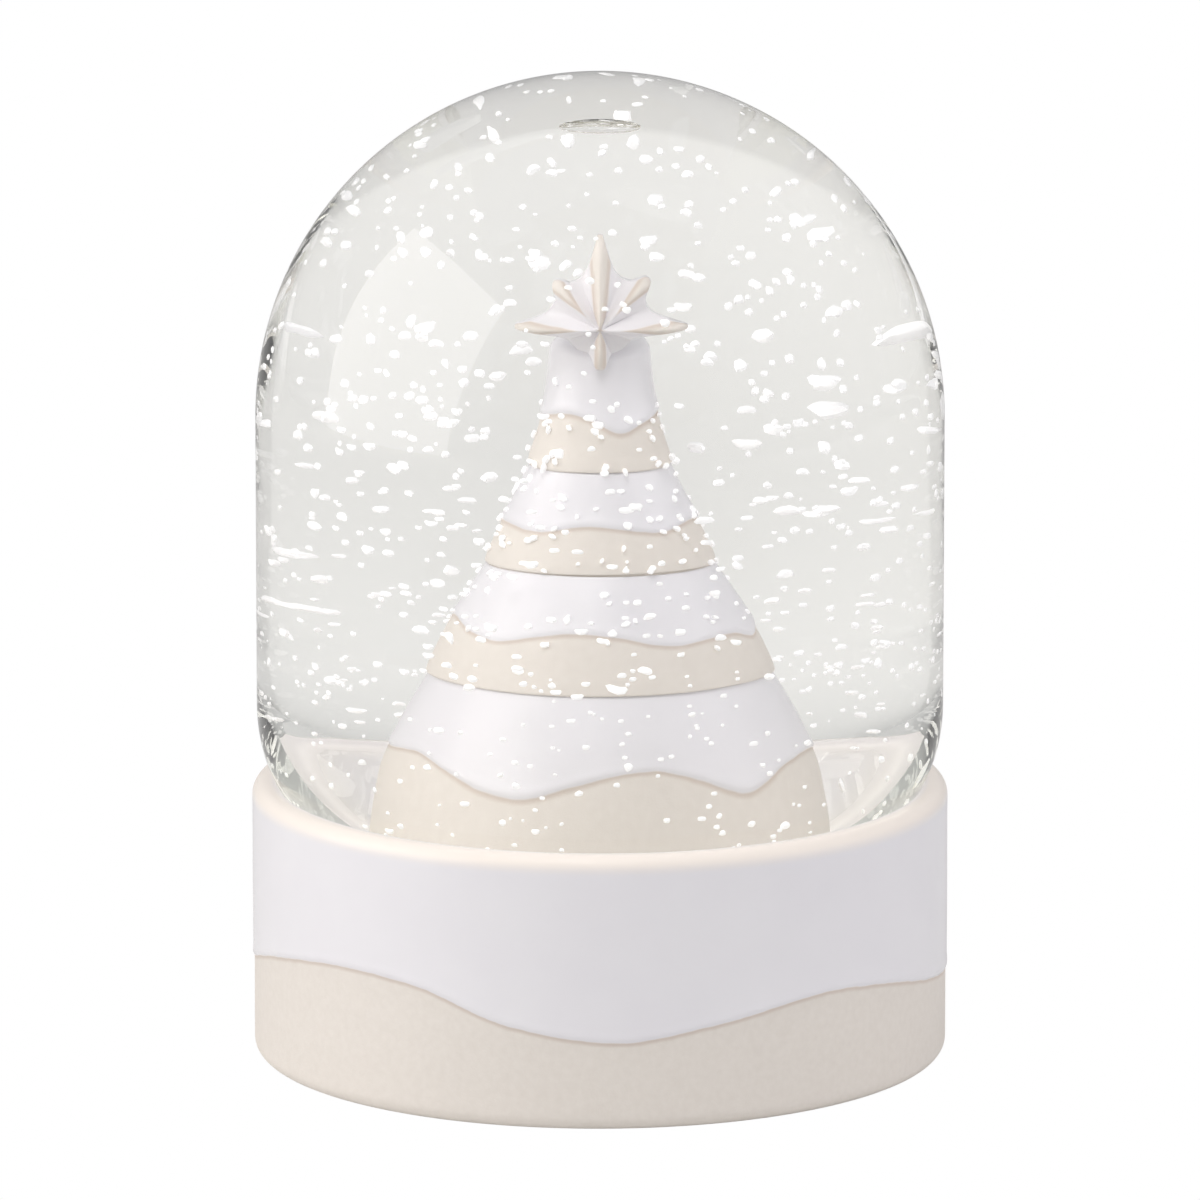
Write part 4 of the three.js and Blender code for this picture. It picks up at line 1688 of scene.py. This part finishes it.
@dataclass
class SoftBox:
    """A soft square light that points at the globe's axis.

    Attributes:
        name: Its name.
        place: Where it hangs.
        size: Its side.
        watts: Its power.
        tint: Its colour, as linear red, green and blue.
        mirrored: Whether glass and glaze mirror it.
        aim: Height on the axis that it points at.
    """

    name: str
    place: tuple[float, float, float]
    size: float
    watts: float
    tint: tuple[float, float, float] = (1.0, 1.0, 1.0)
    mirrored: bool = False
    aim: float = 0.07


@dataclass
class Studio:
    """A plain pale floor, a soft white surround, soft boxes at both sides, and the camera.

    Attributes:
        elevation: The camera's height above level, in degrees.
        distance: Its distance from the globe's axis.
        aim: Height on the axis that it looks at.
        lens: Focal length in mm.
        sensor: Width of the sensor in mm.
        floor_r: Radius of the floor sheet.
        paper: Colour of the sheet.
        glow_near: How brightly the sheet shows through the glass.
        glow_through: What the part beyond a painted shade around the globe and at its sides adds to that.
        shade_r: Radius of the painted shade around the globe.
        ambient: Strength of the surround's light.
        through_glass: Strength of the surround as seen through the glass.
        bounces: How many times light may pass or bounce.
        boxes: The lights.
    """

    elevation: float = 12.3
    distance: float = 2.0
    aim: float = 66.5 * MM
    lens: float = 418.2
    sensor: float = 36.0
    floor_r: float = 3.0
    paper: str = "#e7e7e6"
    glow_through: float = 0.13
    glow_near: float = 0.12
    shade_r: float = 0.153
    ambient: float = 0.42
    through_glass: float = 0.62
    bounces: int = 24
    boxes: tuple[SoftBox, ...] = (
        SoftBox("left_box", (-0.88, -0.22, 0.42), 1.0, 5.6, (1.0, 0.965, 0.94), mirrored=True),
        SoftBox("right_box", (0.97, -0.15, 0.35), 0.9, 3.6, (1.0, 0.97, 1.0)),
        SoftBox("top_box", (-0.05, -0.02, 1.00), 1.0, 0.9, (1.0, 0.98, 0.99)),
        SoftBox("near_box", (-0.04, -0.17, 0.37), 0.14, 0.38, (1.0, 0.98, 0.99), aim=0.11),
    )

    def build(self) -> None:
        """Builds the floor, the surround, the lights and the camera."""
        self._floor()
        self._surround()
        for box in self.boxes:
            self._light(box)
        self._camera()
        scene = bpy.context.scene
        scene.view_settings.view_transform = "Standard"
        scene.cycles.caustics_reflective = False
        scene.cycles.caustics_refractive = False
        scene.cycles.max_bounces = self.bounces
        scene.cycles.transmission_bounces = self.bounces
        scene.cycles.use_denoising = True

    def _floor(self) -> None:
        """Lays a wide matt sheet, which the camera sees white, and greyer through the glass, with a painted
        shade around the globe and at its sides.
        """
        mesh = bmesh.new()
        bmesh.ops.create_circle(mesh, cap_ends=True, segments=96, radius=self.floor_r)
        data = bpy.data.meshes.new("pale_floor")
        mesh.to_mesh(data)
        mesh.free()
        floor = bpy.data.objects.new("pale_floor", data)
        bpy.context.scene.collection.objects.link(floor)
        material, tree = blank_material("matt_paper_sheet")
        path = add(tree, "ShaderNodeLightPath")
        paper = add(tree, "ShaderNodeBsdfDiffuse", {"Color": linear(self.paper)})
        place = add(tree, "ShaderNodeTexCoord").outputs["Object"]
        away = add(tree, "ShaderNodeVectorMath", {0: place}, operation="LENGTH").outputs["Value"]
        # Through the glass the sheet is painted darker within shade_r of the axis and outside a wedge behind
        # the globe, as shade.
        soft = 4 * MM
        beyond = add(tree, "ShaderNodeMapRange", {0: away, 1: self.shade_r - soft, 2: self.shade_r + soft})
        axes = add(tree, "ShaderNodeSeparateXYZ", {0: place})
        aside = add(tree, "ShaderNodeMath", {0: axes.outputs["X"]}, operation="ABSOLUTE")
        behind = add(tree, "ShaderNodeMath", {0: axes.outputs["Y"], 1: MM}, operation="MAXIMUM")
        slant = add(tree, "ShaderNodeMath", {0: aside.outputs[0], 1: behind.outputs[0]}, operation="DIVIDE")
        within = add(tree, "ShaderNodeMapRange", {0: slant.outputs[0], 1: 0.96, 2: 1.04, 3: 1.0, 4: 0.0})
        both = add(tree, "ShaderNodeMath", {0: beyond.outputs[0], 1: within.outputs[0]}, operation="MULTIPLY")
        glow = add(
            tree,
            "ShaderNodeMath",
            {0: both.outputs[0], 1: self.glow_through, 2: self.glow_near},
            operation="MULTIPLY_ADD",
        )
        passed = path.outputs["Is Transmission Ray"]
        through = add(tree, "ShaderNodeMath", {0: passed, 1: glow.outputs[0]}, operation="MULTIPLY")
        level = add(tree, "ShaderNodeMix", {0: path.outputs["Is Camera Ray"], 2: through.outputs[0], 3: 1.0})
        bright = add(tree, "ShaderNodeEmission", {"Color": (1, 1, 1, 1), "Strength": level.outputs[0]})
        dark = add(tree, "ShaderNodeMixShader", {0: path.outputs["Is Camera Ray"], 1: paper.outputs[0]})
        mixed = add(tree, "ShaderNodeAddShader", {0: dark.outputs[0], 1: bright.outputs[0]})
        finish_with(tree, mixed)
        data.materials.append(material)

    def _surround(self) -> None:
        """Hangs the white surround, which lights evenly and looks greyer through the glass."""
        world = bpy.data.worlds.new("white_surround")
        bpy.context.scene.world = world
        world.use_nodes = True
        tree = world.node_tree
        tree.nodes.clear()
        path = add(tree, "ShaderNodeLightPath")
        lit = add(
            tree,
            "ShaderNodeMix",
            {0: path.outputs["Is Transmission Ray"], 2: self.ambient, 3: self.through_glass},
        )
        level = add(tree, "ShaderNodeMix", {0: path.outputs["Is Camera Ray"], 2: lit.outputs[0], 3: 1.0})
        back = add(tree, "ShaderNodeBackground", {"Color": (1, 1, 1, 1), "Strength": level.outputs[0]})
        add(tree, "ShaderNodeOutputWorld", {"Surface": back.outputs[0]})

    def _light(self, box: SoftBox) -> None:
        """Hangs one soft box.

        Args:
            box: The light.
        """
        data = bpy.data.lights.new(box.name, "AREA")
        data.shape = "SQUARE"
        data.size = box.size
        data.energy = box.watts
        data.color = box.tint
        lamp = bpy.data.objects.new(box.name, data)
        bpy.context.scene.collection.objects.link(lamp)
        place = Vector(box.place)
        lamp.location = place
        lamp.rotation_euler = (Vector((0, 0, box.aim)) - place).to_track_quat("-Z", "Y").to_euler()
        lamp.visible_glossy = box.mirrored

    def _camera(self) -> None:
        """Stands the camera in front, a little above the globe."""
        data = bpy.data.cameras.new("camera")
        data.lens = self.lens
        data.sensor_width = self.sensor
        camera = bpy.data.objects.new("camera", data)
        bpy.context.scene.collection.objects.link(camera)
        lift = math.radians(self.elevation)
        back = Vector((0, -math.cos(lift), math.sin(lift)))
        camera.location = Vector((0, 0, self.aim)) + back * self.distance
        camera.rotation_euler = (-back).to_track_quat("-Z", "Y").to_euler()
        bpy.context.scene.camera = camera


def main() -> None:
    """Builds the studio and every sub-assembly of the globe."""
    logging.basicConfig(level=logging.INFO, format="%(message)s", force=True)
    Studio().build()
    stoneware = GlazedStoneware().material()
    dome, tree = Dome(), Tree()
    RingBase().build(stoneware)
    dome.build()
    tree.build(stoneware)
    Snow(dome, tree).build()


if __name__ == "__main__":
    main()
